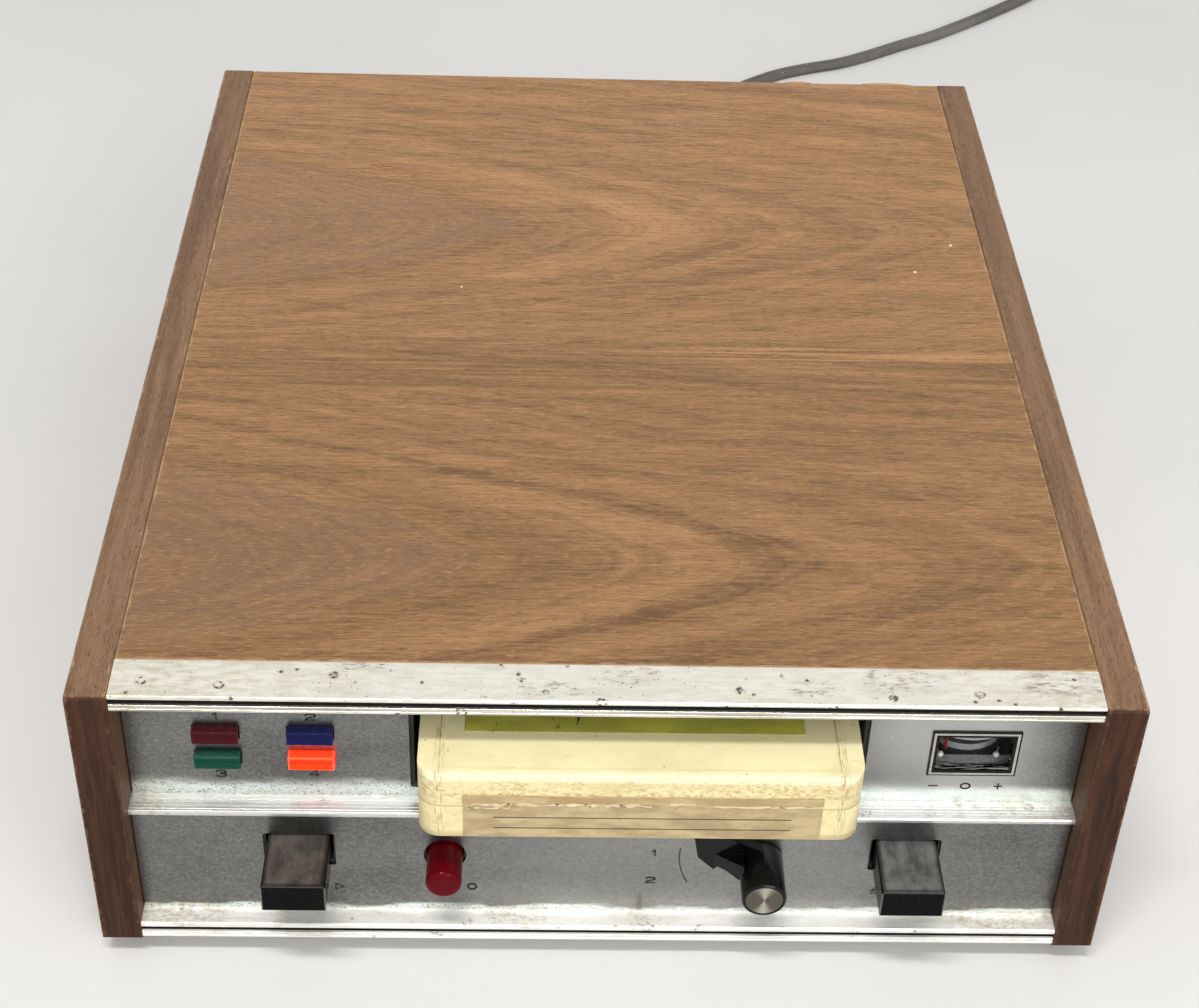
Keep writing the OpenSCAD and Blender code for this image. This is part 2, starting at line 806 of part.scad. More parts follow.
deck_z = 36;
deck_t = 1.6;
deck_top = deck_z + deck_t;
deck_front = 50;
deck_back = 214;
deck_x = 98;
flywheel_d = 72;
flywheel_z = 14;
flywheel_h = 12;
capstan_d = 3.2;
bearing_d = 14;
motor_x = -58;
motor_y = 178;
motor_d = 48;
motor_shaft = 3;
pulley_d = 13;
head_x = 2.5;
head_lift = 2.4;
pillar_dx = 11;
pillar_y = cart_back + 12.5;
pillar_d = 3;
follow_z = cart_z + 16;
cam_x = -2;
cam_y = 150;
cam_low = 9;
cam_turn = 270;
cam_z = follow_z - 0.4 - cam_low;
cam_shaft = 4;
arm_x = 74;
arm_y = 56;
arm_z = cart_mid;
arm_pin = 4;

strap_top = 8;
strap_reach = 41;

// Strap under the flywheel that carries the thrust pad, on two posts from the deck
module flywheel_strap()
{
  along_z(strap_top - 1.6, strap_top) rounded_rect(2 * strap_reach + 12, 16, 7.9);
  translate([0, 0, strap_top - tiny]) cylinder(d = 8, h = 0.8);
  for (sx = [-1, 1])
    translate([sx * strap_reach, 0, strap_top - tiny]) cylinder(d = 6, h = deck_z - strap_top + 2 * tiny);
}

// Steel deck with turned-down sides that stand on the base plate, and a turned-up tab for the cam
module chassis()
  color([0.7, 0.68, 0.55])
  in_case()
    difference()
    {
      union()
      {
        block([-deck_x, deck_front, deck_z], [deck_x, deck_back, deck_top]);
        for (side = [-1, 1])
          translate([side * (deck_x - deck_t / 2), 0, 0])
          {
            block([-deck_t / 2, deck_front, base_z + base_t], [deck_t / 2, deck_back, deck_z + tiny]);
            for (y = [deck_front, deck_back - 14])
              block([min(-side * 12, 0), y, base_z + base_t], [max(-side * 12, 0), y + 14, base_z + base_t + 1.6]);
          }
        translate([capstan_x, capstan_y, 0])
          flywheel_strap();
        translate([cam_x, 0, 0])
          along_y(cam_y + 7, cam_y + 7 + deck_t)
            polygon([[-9, deck_top - tiny], [9, deck_top - tiny], [6, cam_z + 6], [-6, cam_z + 6]]);
      }
      rod_y(cam_x, cam_z, cam_shaft + 0.1, cam_y, cam_y + 20);
      translate([capstan_x, capstan_y, deck_z - 1]) cylinder(d = bearing_d + 0.06, h = deck_t + 2);
      translate([motor_x, motor_y, deck_z - 1]) cylinder(d = 12, h = deck_t + 2);
      for (x = [-70, -20, 30, 80])
        translate([x, 72, deck_z - 1]) cylinder(d = 8, h = deck_t + 2);
    }

// Turned posts riveted to the deck: two pillars for the head carriage, one pivot for the locking arm
module deck_posts()
  color([0.75, 0.75, 0.76])
  in_case()
  {
    for (sx = [-1, 1])
      translate([head_x + sx * pillar_dx, pillar_y, deck_top])
        rotate_extrude()
          polygon([[0, 0], [4.5, 0], [4.5, 3], [pillar_d / 2, 3], [pillar_d / 2, 32.5], [0, 33]]);
    translate([arm_x, arm_y, 0])
      rotate_extrude()
        polygon([[0, deck_top], [5, deck_top], [5, deck_top + 3], [2.5, deck_top + 3], [2.5, arm_z - 3.4],
          [arm_pin / 2, arm_z - 3.4], [arm_pin / 2, arm_z + 3.4], [3.6, arm_z + 3.4], [3.6, arm_z + 4.2],
          [arm_pin / 2, arm_z + 4.2], [0, arm_z + 5.2]]);
  }

// Sintered bearing pressed in the deck, with a flange on top
module capstan_bearing()
  color([0.72, 0.55, 0.3])
  in_case()
    translate([capstan_x, capstan_y, 0])
      rotate_extrude()
        polygon([[capstan_d / 2 + 0.04, 27.5], [bearing_d / 2, 27.5], [bearing_d / 2, deck_top],
          [bearing_d / 2 + 2.5, deck_top], [bearing_d / 2 + 2.5, deck_top + 2],
          [4, deck_top + 2], [4, deck_top + 5], [capstan_d / 2 + 0.04, deck_top + 5]]);

// Balanced flywheel with a flat rim for the belt, and the capstan pressed in it
module flywheel()
  color([0.62, 0.62, 0.6])
  in_case()
    translate([capstan_x, capstan_y, 0])
      rotate_extrude()
        polygon([[0, 9], [capstan_d / 2, 9.6], [capstan_d / 2, flywheel_z], [9, flywheel_z], [9, flywheel_z + 3],
          [27, flywheel_z + 3], [29, flywheel_z], [flywheel_d / 2, flywheel_z],
          [flywheel_d / 2, flywheel_z + flywheel_h], [29, flywheel_z + flywheel_h],
          [27, flywheel_z + 8], [9, flywheel_z + 8], [6, flywheel_z + flywheel_h + 1],
          [capstan_d / 2, flywheel_z + flywheel_h + 1], [capstan_d / 2, 61.5], [0, 62]]);

belt_t = 0.8;
belt_w = 5;
belt_z = 18;
belt_dist = sqrt(pow(capstan_x - motor_x, 2) + pow(capstan_y - motor_y, 2));
belt_dir = atan2(motor_y - capstan_y, motor_x - capstan_x);
belt_lean = asin((flywheel_d - pulley_d) / 2 / belt_dist);

// Points of the belt's loop drawn clear of both wheels by g
function belt_loop(g) = concat(
  [for (k = [0:18]) let (a = 90 - belt_lean + (180 + 2 * belt_lean) * k / 18) (flywheel_d / 2 + g) * [cos(a), sin(a)]],
  [for (k = [0:8]) let (a = 270 + belt_lean + (180 - 2 * belt_lean) * k / 8)
    [belt_dist, 0] + (pulley_d / 2 + g) * [cos(a), sin(a)]]);

module drive_belt()
  color([0.05, 0.05, 0.05])
  in_case()
    translate([capstan_x, capstan_y, belt_z]) rotate([0, 0, belt_dir])
      linear_extrude(belt_w)
        difference()
        {
          polygon(belt_loop(belt_t + 0.45));
          polygon(belt_loop(0.45));
        }

// Motor can on the deck, its nose through the plate, with the bore for the shaft
module motor()
  color([0.55, 0.56, 0.58])
  in_case()
    translate([motor_x, motor_y, 0])
    {
      rotate_extrude()
        polygon([[motor_shaft / 2 + 0.05, deck_z - 3], [5, deck_z - 3], [5, deck_top], [motor_d / 2, deck_top],
          [motor_d / 2, deck_top + 27], [motor_d / 2 - 2, deck_top + 29], [8, deck_top + 29],
          [8, deck_top + 31], [0, deck_top + 31], [0, deck_top + 14], [motor_shaft / 2 + 0.05, deck_top + 14]]);
      for (a = [90:120:330])
        rotate([0, 0, a]) block([motor_d / 2 - 1, -4, deck_top], [motor_d / 2 + 7, 4, deck_top + 1.5]);
    }

// Crowned pulley between two flanges, fixed on the motor's shaft
module motor_pulley()
  color([0.72, 0.55, 0.3])
  in_case()
    translate([motor_x, motor_y, 0])
      rotate_extrude()
        polygon([[0, 14], [motor_shaft / 2, 14], [motor_shaft / 2, 15], [pulley_d / 2 + 1.5, 15],
          [pulley_d / 2 + 1.5, 16], [pulley_d / 2, 17], [pulley_d / 2, 24], [pulley_d / 2 + 1.5, 25],
          [pulley_d / 2 + 1.5, 26], [4, 26], [4, 30], [motor_shaft / 2, 30], [motor_shaft / 2, deck_top + 13],
          [0, deck_top + 13]]);

// Head carriage: head in its can, the bracket with two sliding sleeves, and the cam follower
module tape_head()
  color([0.7, 0.7, 0.7])
  in_case()
    translate([head_x, 0, 0])
    {
      along_z(cart_z + 3.5, cart_z + 14)
        difference()
        {
          union()
          {
            translate([0, cart_back - 1]) circle(6.5);
            translate([-6.5, cart_back - 1]) square([13, 9]);
          }
          translate([-8, cart_back - 10]) square([16, 4]);
        }
      block([-14, cart_back + 7.9, cart_z + 2], [14, cart_back + 9.5, cart_z + 16]);
      for (sx = [-1, 1])
        difference()
        {
          translate([sx * pillar_dx, pillar_y, cart_z + 2]) cylinder(d = 6.4, h = 14);
          translate([sx * pillar_dx, pillar_y, cart_z]) cylinder(d = pillar_d + 0.1, h = 18);
        }
      block([cam_x - head_x - 1.9, cart_back + 9.4, follow_z], [cam_x - head_x + 1.9, cam_y + 3, follow_z + 2]);
    }

// Radius of the cam at an angle: one steady rise that lifts the head through its tracks
function cam_edge(a) = cam_low + head_lift * a / cam_turn;
ratchet_teeth = 12;

// Program cam: rising edge in front, ratchet wheel behind it, on one shaft
module program_cam()
  color([0.92, 0.9, 0.85])
  in_case()
    translate([cam_x, cam_y, cam_z])
    {
      along_y(-1.5, 1.5)
        polygon(concat([for (a = [-10:10:cam_turn + 10]) cam_edge(a) * [sin(a), cos(a)]], [[-3, 0], [-3, 3]]));
      along_y(1.4, 5)
        polygon([for (i = [0:ratchet_teeth - 1], t = [0, 1])
          (t == 0 ? 7 : 5.6) * [sin(360 * (i + 0.1 * t) / ratchet_teeth), cos(360 * (i + 0.1 * t) / ratchet_teeth)]]);
      rod_y(0, 0, cam_shaft, -3, 10);
    }

solenoid_x = -48;
solenoid_y = 140;
solenoid_z = 48;
plunger_d = 6;

// Solenoid frame and coil, with a round bore for the plunger
module solenoid()
  color([0.7, 0.35, 0.15])
  in_case()
    translate([solenoid_x, solenoid_y, solenoid_z])
      difference()
      {
        union()
        {
          block([-14, -9, deck_top - solenoid_z], [-12, 9, 8]);
          block([12, -9, deck_top - solenoid_z], [14, 9, 8]);
          block([-14, -9, deck_top - solenoid_z], [14, 9, deck_top - solenoid_z + 1.4]);
          translate([-12 - tiny, 0, 0]) rotate([0, 90, 0]) cylinder(d = 15, h = 24 + 2 * tiny);
        }
        translate([-8, 0, 0]) rotate([0, 90, 0]) cylinder(d = plunger_d + 0.1, h = 30);
      }

// Plunger with its stop collar and the pawl that turns the ratchet
module solenoid_plunger()
  color([0.6, 0.6, 0.62])
  in_case()
    translate([solenoid_x, solenoid_y, solenoid_z])
    {
      rotate([0, 90, 0])
        rotate_extrude()
          polygon([[0, -3], [plunger_d / 2, -3], [plunger_d / 2, 20], [4.6, 20], [4.6, 21.5],
            [plunger_d / 2, 21.5], [plunger_d / 2, 25], [0, 25]]);
      along_z(-0.8, 0.8)
        polygon([[22, -2], [26, -2], [26, 12.2], [37.6, 12.2], [37.6, 14.6], [24, 14.6], [22, 12.6]]);
    }

arm_t = 1.6;
arm_notch_y = (cart_front + cart_back) / 2 + notch_y;
latch_d = 7;
latch_pin = 2.4;
latch_x = slot_x + cart_w / 2 + latch_d / 2 + 0.4;

// Locking arm: a pressed lever on its pivot, with the pin for the roller at its end
module roller_arm()
  color([0.72, 0.7, 0.6])
  in_case()
    difference()
    {
      union()
      {
        translate([arm_x, arm_y, arm_z - 3]) cylinder(d = 9, h = 6);
        along_z(arm_z - 6, arm_z - 6 + arm_t)
          polygon([[latch_x - 1.8, arm_notch_y - 2], [latch_x + 3, arm_notch_y - 5.4], [arm_x - 3, arm_notch_y - 12],
            [arm_x + 3, arm_notch_y - 12], [arm_x + 3, arm_notch_y], [latch_x + 2, arm_notch_y + 3],
            [latch_x - 1.8, arm_notch_y + 2]]);
        along_z(arm_z - 3, arm_z - 3 + arm_t)
          polygon([[arm_x - 3, arm_y], [arm_x + 3, arm_y], [arm_x + 3, arm_notch_y - 10], [arm_x - 3, arm_notch_y - 10]]);
        block([arm_x - 3, arm_notch_y - 12, arm_z - 6], [arm_x + 3, arm_notch_y - 10, arm_z - 3 + arm_t]);
        translate([latch_x, arm_notch_y, arm_z - 6]) cylinder(d = latch_pin, h = 11);
      }
      translate([arm_x, arm_y, arm_z - 7]) cylinder(d = arm_pin + 0.1, h = 14);
    }

module latch_roller()
  color([0.9, 0.9, 0.86])
  in_case()
    translate([latch_x, arm_notch_y, arm_z - 4])
      rotate_extrude()
        polygon([[latch_pin / 2 + 0.05, 0], [latch_d / 2 - 0.4, 0], [latch_d / 2, 0.4], [latch_d / 2, 7.6],
          [latch_d / 2 - 0.4, 8], [latch_pin / 2 + 0.05, 8]]);

spring_r = 3.5;
spring_wire = 0.9;
spring_turns = 5;
spring_low = deck_top + 4;
spring_high = arm_z - 4.4;
spring_path = concat([[arm_x + spring_r, arm_y - 12, spring_low]],
  [for (k = [0:spring_turns * 12])
    [arm_x + spring_r * cos(30 * k), arm_y + spring_r * sin(30 * k),
      spring_low + (spring_high - spring_low) * k / (spring_turns * 12)]],
  [[arm_x + spring_r, arm_y + 14, spring_high]]);

// Torsion spring round the arm's pivot, with a leg along the arm and one along the deck
module arm_spring()
  color([0.7, 0.7, 0.72])
  in_case() tube(spring_path, spring_wire, spring_wire, 6);

// ---- electrics -----------------------------------------------------------------------------

// Mains transformer: laminated core, winding and fixing feet on the base plate
module transformer()
  color([0.25, 0.25, 0.27])
  in_case()
    translate([70, 246, base_z + base_t])
    {
      difference()
      {
        block([-25, -9, 0], [25, 9, 42]);
        for (sx = [-1, 1])
          translate([sx * 12.5, 0, 21]) cube([8, 20, 26], center = true);
      }
      difference()
      {
        block([-16, -17, 8.5], [16, 17, 33.5]);
        block([-8.4, -9, 0], [8.4, 9, 42]);
        for (sx = [-1, 1])
          block([sx * 16.4 - 0.4 - 7.6, -9, 0], [sx * 16.4 + 0.4 + 7.6, 9, 8.4]);
      }
      for (sx = [-1, 1])
        block([sx * 29.5 - 5, -9, 0], [sx * 29.5 + 5, 9, 1.5]);
    }

board_z = 10;

// Amplifier board on four posts, with capacitors, transistors and screened coils
module circuit_board()
  color([0.55, 0.45, 0.25])
  in_case()
  {
    block([-92, 222, board_z], [14, 284, board_z + 1.6]);
    for (x = [-88, 10], y = [226, 280])
      translate([x, y, base_z + base_t]) cylinder(d = 5, h = board_z - base_z - base_t + tiny);
    for (p = [[-80, 232, 10, 16], [-64, 236, 8, 12], [-44, 232, 12, 24], [-24, 234, 8, 12], [-6, 232, 10, 18]])
      translate([p[0], p[1], board_z + 1.59]) cylinder(d = p[2], h = p[3]);
    for (i = [0:5])
      translate([-78 + 14 * i, 258, board_z + 1.59]) block([-2.4, -1.6, 0], [2.4, 1.6, 7]);
    for (i = [0:3])
      translate([-74 + 22 * i, 246, board_z + 1.59]) block([-4, -4, 0], [4, 4, 12]);
  }

// Four phono sockets: shell through the panel, collar behind and the hollow centre pin
module phono_jacks()
  color([0.75, 0.75, 0.72])
  in_case()
    for (x = jack_x)
      translate([x, 0, jack_h])
      {
        difference()
        {
          rod_y(0, 0, 8.2, 276, base_rear + 2.6);
          rod_y(0, 0, 6.4, 280, base_rear + 4);
        }
        difference()
        {
          rod_y(0, 0, 12, base_rear - rear_t - 2, base_rear - rear_t);
          rod_y(0, 0, 8, 270, base_rear);
        }
        rod_y(0, 0, 3.4, 279.9, base_rear - 1);
      }

// ---- mains lead ----------------------------------------------------------------------------

// Places on the lead are in the part's own frame
relief_l = 26;
relief_start = front_y + base_rear - rear_t - 3;
relief_end = front_y + base_rear + relief_l;
lead_z = lead_h + foot_lift;
lie = cord_t / 2 + 0.1;

// Tapered strain relief with a flange behind the panel
module strain_relief()
  color([0.1, 0.1, 0.1])
  translate([lead_x, relief_start, lead_z]) rotate([-90, 0, 0])
    rotate_extrude()
      polygon([[0, 0], [7, 0], [7, 3], [5.4, 3], [5.4, 3 + rear_t], [6.6, 3 + rear_t], [6.6, 6.5],
        [5.6, 6.5], [3.8, relief_end - relief_start], [0, relief_end - relief_start]]);

// Route of the lead from the strain relief to the coil
route = [[30, 175.5, 25], [30, 181, 25], [30, 187, 25], [30, 195, 23.4], [30, 204, 19.6], [30, 213, 14.2],
  [30.5, 222, 9], [31, 232, 5], [32, 243, 2.6], [34, 255, 1.6], [37, 267, 1.6], [41, 279, 1.6], [46.5, 290, 1.6],
  [54, 301, 1.6], [62, 309.5, 1.6], [71, 317, 1.6], [80, 323, 1.6], [92, 328.5, 1.6], [105, 333.5, 1.6],
  [118, 341, 1.6], [132, 350.5, 1.6], [147, 360, 1.6], [158, 368.5, 1.6], [169, 377.5, 1.6], [180, 387, 1.6],
  [191, 397, 1.6], [202, 408.5, 1.6], [211, 421, 1.6], [217, 434, 1.6], [219.4, 445, 1.6], [220, 454, 1.6],
  [220, 459, 1.6], [220, 464, 1.6]];

// Catmull-Rom curve through the route's points
function curve(p, i, t) =
  let (a = p[max(i - 1, 0)], b = p[i], c = p[min(i + 1, len(p) - 1)], d = p[min(i + 2, len(p) - 1)])
  0.5 * (2 * b + (c - a) * t + (2 * a - 5 * b + 4 * c - d) * t * t + (3 * b - a - 3 * c + d) * t * t * t);
cord_points = [for (i = [0:len(route) - 2], t = [0, 0.5]) curve(route, i, t)];
cord_path = concat(cord_points, [route[len(route) - 1]]);

function unit(v) = v / norm(v);
function path_way(p, i) =
  i == 0 ? unit(p[1] - p[0]) : i == len(p) - 1 ? unit(p[i] - p[i - 1]) : unit(p[i + 1] - p[i - 1]);

// One ring of n points round the path: w wide across, t thick, upright as the lead lies flat
function ring(p, i, w, t, n) =
  let (way = path_way(p, i), side = unit(cross(way, [0, 0, 1])), up = cross(side, way))
  [for (k = [0:n - 1]) p[i] + side * (w / 2) * cos(360 * k / n) + up * (t / 2) * sin(360 * k / n)];

module tube(p, w, t, n)
{
  m = len(p);
  points = [for (i = [0:m - 1]) each ring(p, i, w, t, n)];
  faces = concat([[for (k = [0:n - 1]) k]],
    [for (i = [0:m - 2], k = [0:n - 1]) let (a = i * n + k, b = i * n + (k + 1) % n) each [[a, a + n, b + n], [a, b + n, b]]],
    [[for (k = [n - 1:-1:0]) (m - 1) * n + k]]);
  polyhedron(points, faces);
}

module power_cord()
  color([0.3, 0.27, 0.24]) tube(cord_path, cord_w, cord_t, 8);

// Coil: spirals in on the lower layer, climbs in the half turn at the middle, spirals out on top
coil_outer_r = coil_inner_r + coil_pitch * coil_loops / 2;
layer_rise = cord_t + 0.6;
coil_start = route[len(route) - 1];
coil_centre = [coil_start[0] - coil_outer_r, coil_start[1] + cord_w, 0];
function climb(s) = let (u = min(max(s * 2 + 0.5, 0), 1)) u * u * (3 - 2 * u);
function coil_point(t) =
  let (s = t - coil_loops / 2, r = coil_inner_r + coil_pitch * abs(s))
  coil_centre + [r * cos(360 * t), r * sin(360 * t), lie + layer_rise * climb(s)];
loop_rings = 24;
coil_end_z = lie + layer_rise;
tail_l = 28;
coil_path = concat([coil_start],
  [for (k = [0:coil_loops * loop_rings]) coil_point(k / loop_rings)],
  [for (y = [tail_l / 2, tail_l]) coil_centre + [coil_outer_r, y, coil_end_z]]);

module cord_coil()
  color([0.3, 0.27, 0.24]) tube(coil_path, cord_w, cord_t, 6);

// Least gap of the coil to itself, between ovals at points at least half a loop apart
function oval_gap(d) =
  let (flat = norm([d[0], d[1]]), rise = abs(d[2]), far = norm(d))
  max(flat - cord_w, rise - cord_t, far - norm([cord_w * flat, cord_t * rise]) / far);
coil_gap = min([for (i = [1:len(coil_path) - 15], j = [i + 12:len(coil_path) - 3]) oval_gap(coil_path[j] - coil_path[i])]);
cord_run = [for (i = [1:len(cord_path) - 1]) norm(cord_path[i] - cord_path[i - 1])];
coil_run = [for (i = [1:len(coil_path) - 1]) norm(coil_path[i] - coil_path[i - 1])];
function total(v) = v * [for (x = v) 1];
echo(coil_gap = coil_gap, cord_length = total(cord_run), coil_length = total(coil_run));

plug_start = coil_path[len(coil_path) - 1];

// Two-pin plug lying beside the coil, its pins away from it
module cord_plug()
  color([0.12, 0.11, 0.1])
  translate(plug_start)
  {
    difference()
    {
      union()
      {
        along_y(0, 9) rounded_rect(9, 6, 2.2);
        along_y(9 - tiny, 27) rounded_rect(24, 10, 3);
      }
      for (sx = [-1, 1], y = [13, 16.5, 20])
        translate([sx * 13, y, -8]) cylinder(d = 3, h = 16);
    }
    for (sx = [-1, 1])
      block([sx * 6.35 - 0.75, 26.9, -3.2], [sx * 6.35 + 0.75, 44, 3.2]);
  }

// ---- nodes ---------------------------------------------------------------------------------

side_board(-1);  // side_board_left
side_board(1);  // side_board_right
top_panel();
top_cleats();
bottom_cover();
rear_panel();
rubber_feet();
case_screws();
top_trim();
bottom_trim();
groove_strips();
mid_ledge();
faceplate_upper();
faceplate_lower();
lamp_lens(0, [0.45, 0.03, 0.1]);  // lamp_lens_1
lamp_lens(1, [0.08, 0.1, 0.4]);  // lamp_lens_2
lamp_lens(2, [0.05, 0.35, 0.2]);  // lamp_lens_3
lamp_lens(3, [1, 0.25, 0.05]);  // lamp_lens_4
lamp_housing();
lamp_bulbs();
meter_bezel();
meter_window();
meter_dial();
meter_needle();
meter_housing();
push_button(-button_x, stem_back + 4);  // program_button
push_button(button_x, stem_back + 10);  // eject_button
record_button();
button_guides();
function_knob();
knob_inlay();
function_switch();
slot_guide();
dust_flap();
cartridge_top();
cartridge_bottom();
cartridge_labels();
cartridge_roller();
tape_reel();
chassis();
deck_posts();
capstan_bearing();
flywheel();
drive_belt();
motor();
motor_pulley();
tape_head();
program_cam();
solenoid();
solenoid_plunger();
roller_arm();
latch_roller();
arm_spring();
transformer();
circuit_board();
phono_jacks();
strain_relief();
power_cord();
cord_coil();
cord_plug();
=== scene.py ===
"""Looks of a home eight-track recorder deck: finishes, mains lead, printed marks and wear.

Every length is in metres in the part's own frame: +Z up, the front towards -Y, the origin on the surface
that the deck stands on, under the middle of it. MM turns millimetres into metres.
"""
import math
import random

import bpy
from mathutils import Euler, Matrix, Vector


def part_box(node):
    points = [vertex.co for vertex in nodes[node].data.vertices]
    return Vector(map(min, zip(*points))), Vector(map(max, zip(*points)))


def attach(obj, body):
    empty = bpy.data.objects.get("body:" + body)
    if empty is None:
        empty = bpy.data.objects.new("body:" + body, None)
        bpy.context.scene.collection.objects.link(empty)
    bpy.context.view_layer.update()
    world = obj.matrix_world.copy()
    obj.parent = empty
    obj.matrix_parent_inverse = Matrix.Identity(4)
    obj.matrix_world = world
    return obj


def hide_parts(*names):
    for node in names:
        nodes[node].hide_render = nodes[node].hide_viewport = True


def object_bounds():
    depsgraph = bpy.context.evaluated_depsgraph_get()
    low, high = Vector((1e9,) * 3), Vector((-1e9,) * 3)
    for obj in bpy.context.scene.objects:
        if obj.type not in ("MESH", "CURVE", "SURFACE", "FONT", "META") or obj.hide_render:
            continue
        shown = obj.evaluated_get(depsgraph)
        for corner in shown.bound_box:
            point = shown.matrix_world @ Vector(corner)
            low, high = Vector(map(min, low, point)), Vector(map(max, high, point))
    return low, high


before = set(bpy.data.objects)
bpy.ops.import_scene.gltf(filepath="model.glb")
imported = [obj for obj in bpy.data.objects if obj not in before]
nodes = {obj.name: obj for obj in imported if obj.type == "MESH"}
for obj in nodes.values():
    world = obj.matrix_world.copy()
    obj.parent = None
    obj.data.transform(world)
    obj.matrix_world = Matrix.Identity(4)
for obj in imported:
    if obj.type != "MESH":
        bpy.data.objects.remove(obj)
cad_low, cad_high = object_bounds()
MM = 0.001
CASE = "case"

board_low, board_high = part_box("side_board_left")
panel_low, panel_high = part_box("top_panel")
FRONT_Y = board_low.y  # the side boards' front
BASE_Z = board_low.z  # the side boards' bottom
CASE_H = board_high.z - board_low.z


def place(x, depth, height):
    """A point given in millimetres: sideways, depth behind the boards' front, height above their bottom."""
    return Vector((x * MM, FRONT_Y + depth * MM, BASE_Z + height * MM))


# ---- camera ----

CAMERA_PLACE = (-0.01622, -0.49573, 0.42554)
CAMERA_TURN = (51.3301, -1.8873, -0.9741)
CAMERA_LENS = 65.915
CAMERA_SHIFT = (-0.0131, 0.0038)


def make_camera():
    data = bpy.data.cameras.new("camera")
    data.sensor_width = 36
    data.lens = CAMERA_LENS
    data.shift_x, data.shift_y = CAMERA_SHIFT
    data.clip_start, data.clip_end = 0.02, 50
    camera = bpy.data.objects.new("camera", data)
    bpy.context.scene.collection.objects.link(camera)
    camera.location = CAMERA_PLACE
    camera.rotation_euler = Euler([math.radians(a) for a in CAMERA_TURN])
    bpy.context.scene.camera = camera


# ---- meshes ----


def add_mesh(name, points, faces, material=None, smooth=False, body=CASE):
    """A new piece from its points and faces, which rides on a body."""
    data = bpy.data.meshes.new(name)
    data.from_pydata([tuple(p) for p in points], [], faces)
    data.validate()
    data.update()
    piece = bpy.data.objects.new(name, data)
    bpy.context.scene.collection.objects.link(piece)
    if material:
        data.materials.append(material)
    if smooth:
        data.shade_smooth()
    if body:
        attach(piece, body)
    return piece


def slab(outline, near, far):
    """Points and faces of a closed slab: one outline of 3-D points shifted by near and by far."""
    n = len(outline)
    points = [Vector(p) + near for p in outline] + [Vector(p) + far for p in outline]
    faces = [list(range(n))[::-1], list(range(n, 2 * n))]
    faces += [[i, (i + 1) % n, n + (i + 1) % n, n + i] for i in range(n)]
    return points, faces


def rectangle(low, high):
    """Corners of the rectangle from low to high whose first side runs sideways."""
    return [low, Vector((high.x, low.y, low.z)), high, Vector((low.x, high.y, high.z))]


def joined(*parts):
    """Several (points, faces) pairs as one."""
    points, faces = [], []
    for more, sides in parts:
        faces += [[i + len(points) for i in side] for side in sides]
        points += more
    return points, faces


def sweep(path, ring):
    """Points and faces of a closed tube: ring(way, i) gives the offsets of one ring round the path's point i."""
    points, faces, last = [], [], len(path) - 1
    for i, p in enumerate(path):
        way = (path[min(i + 1, last)] - path[max(i - 1, 0)]).normalized()
        points += [p + offset for offset in ring(way, i)]
    n = len(points) // len(path)
    for i in range(last):
        for k in range(n):
            a, b = i * n + k, i * n + (k + 1) % n
            faces.append([a, b, b + n, a + n])
    faces += [list(range(n))[::-1], [last * n + k for k in range(n)]]
    return points, faces


def lathe(profile, centre, axis, sides=32):
    """Points and faces of a closed turned solid: profile holds (radius, distance along the axis) pairs."""
    way = Vector(axis).normalized()
    across = way.orthogonal().normalized()
    up = way.cross(across)
    points, faces = [], []
    for radius, along in profile:
        for k in range(sides):
            a = math.tau * k / sides
            points.append(Vector(centre) + way * along + (across * math.cos(a) + up * math.sin(a)) * radius)
    for i in range(len(profile) - 1):
        for k in range(sides):
            a, b = i * sides + k, i * sides + (k + 1) % sides
            faces.append([a, b, b + sides, a + sides])
    last = (len(profile) - 1) * sides
    faces += [list(range(sides))[::-1], list(range(last, last + sides))]
    return points, faces


# ---- finishes ----


class Field:
    """A number that varies over a surface. Arithmetic with it adds Math nodes to that surface's tree."""

    def __init__(self, surface, socket):
        self.surface = surface
        self.socket = socket

    def __add__(self, other):
        return self.surface.math("ADD", self, other)

    def __sub__(self, other):
        return self.surface.math("SUBTRACT", self, other)

    def __rsub__(self, other):
        return self.surface.math("SUBTRACT", other, self)

    def __mul__(self, other):
        return self.surface.math("MULTIPLY", self, other)

    def __truediv__(self, other):
        return self.surface.math("DIVIDE", self, other)

    def __pow__(self, other):
        return self.surface.math("POWER", self, other)

    def __gt__(self, other):
        return self.surface.math("GREATER_THAN", self, other)

    def __abs__(self):
        return self.surface.math("ABSOLUTE", self)


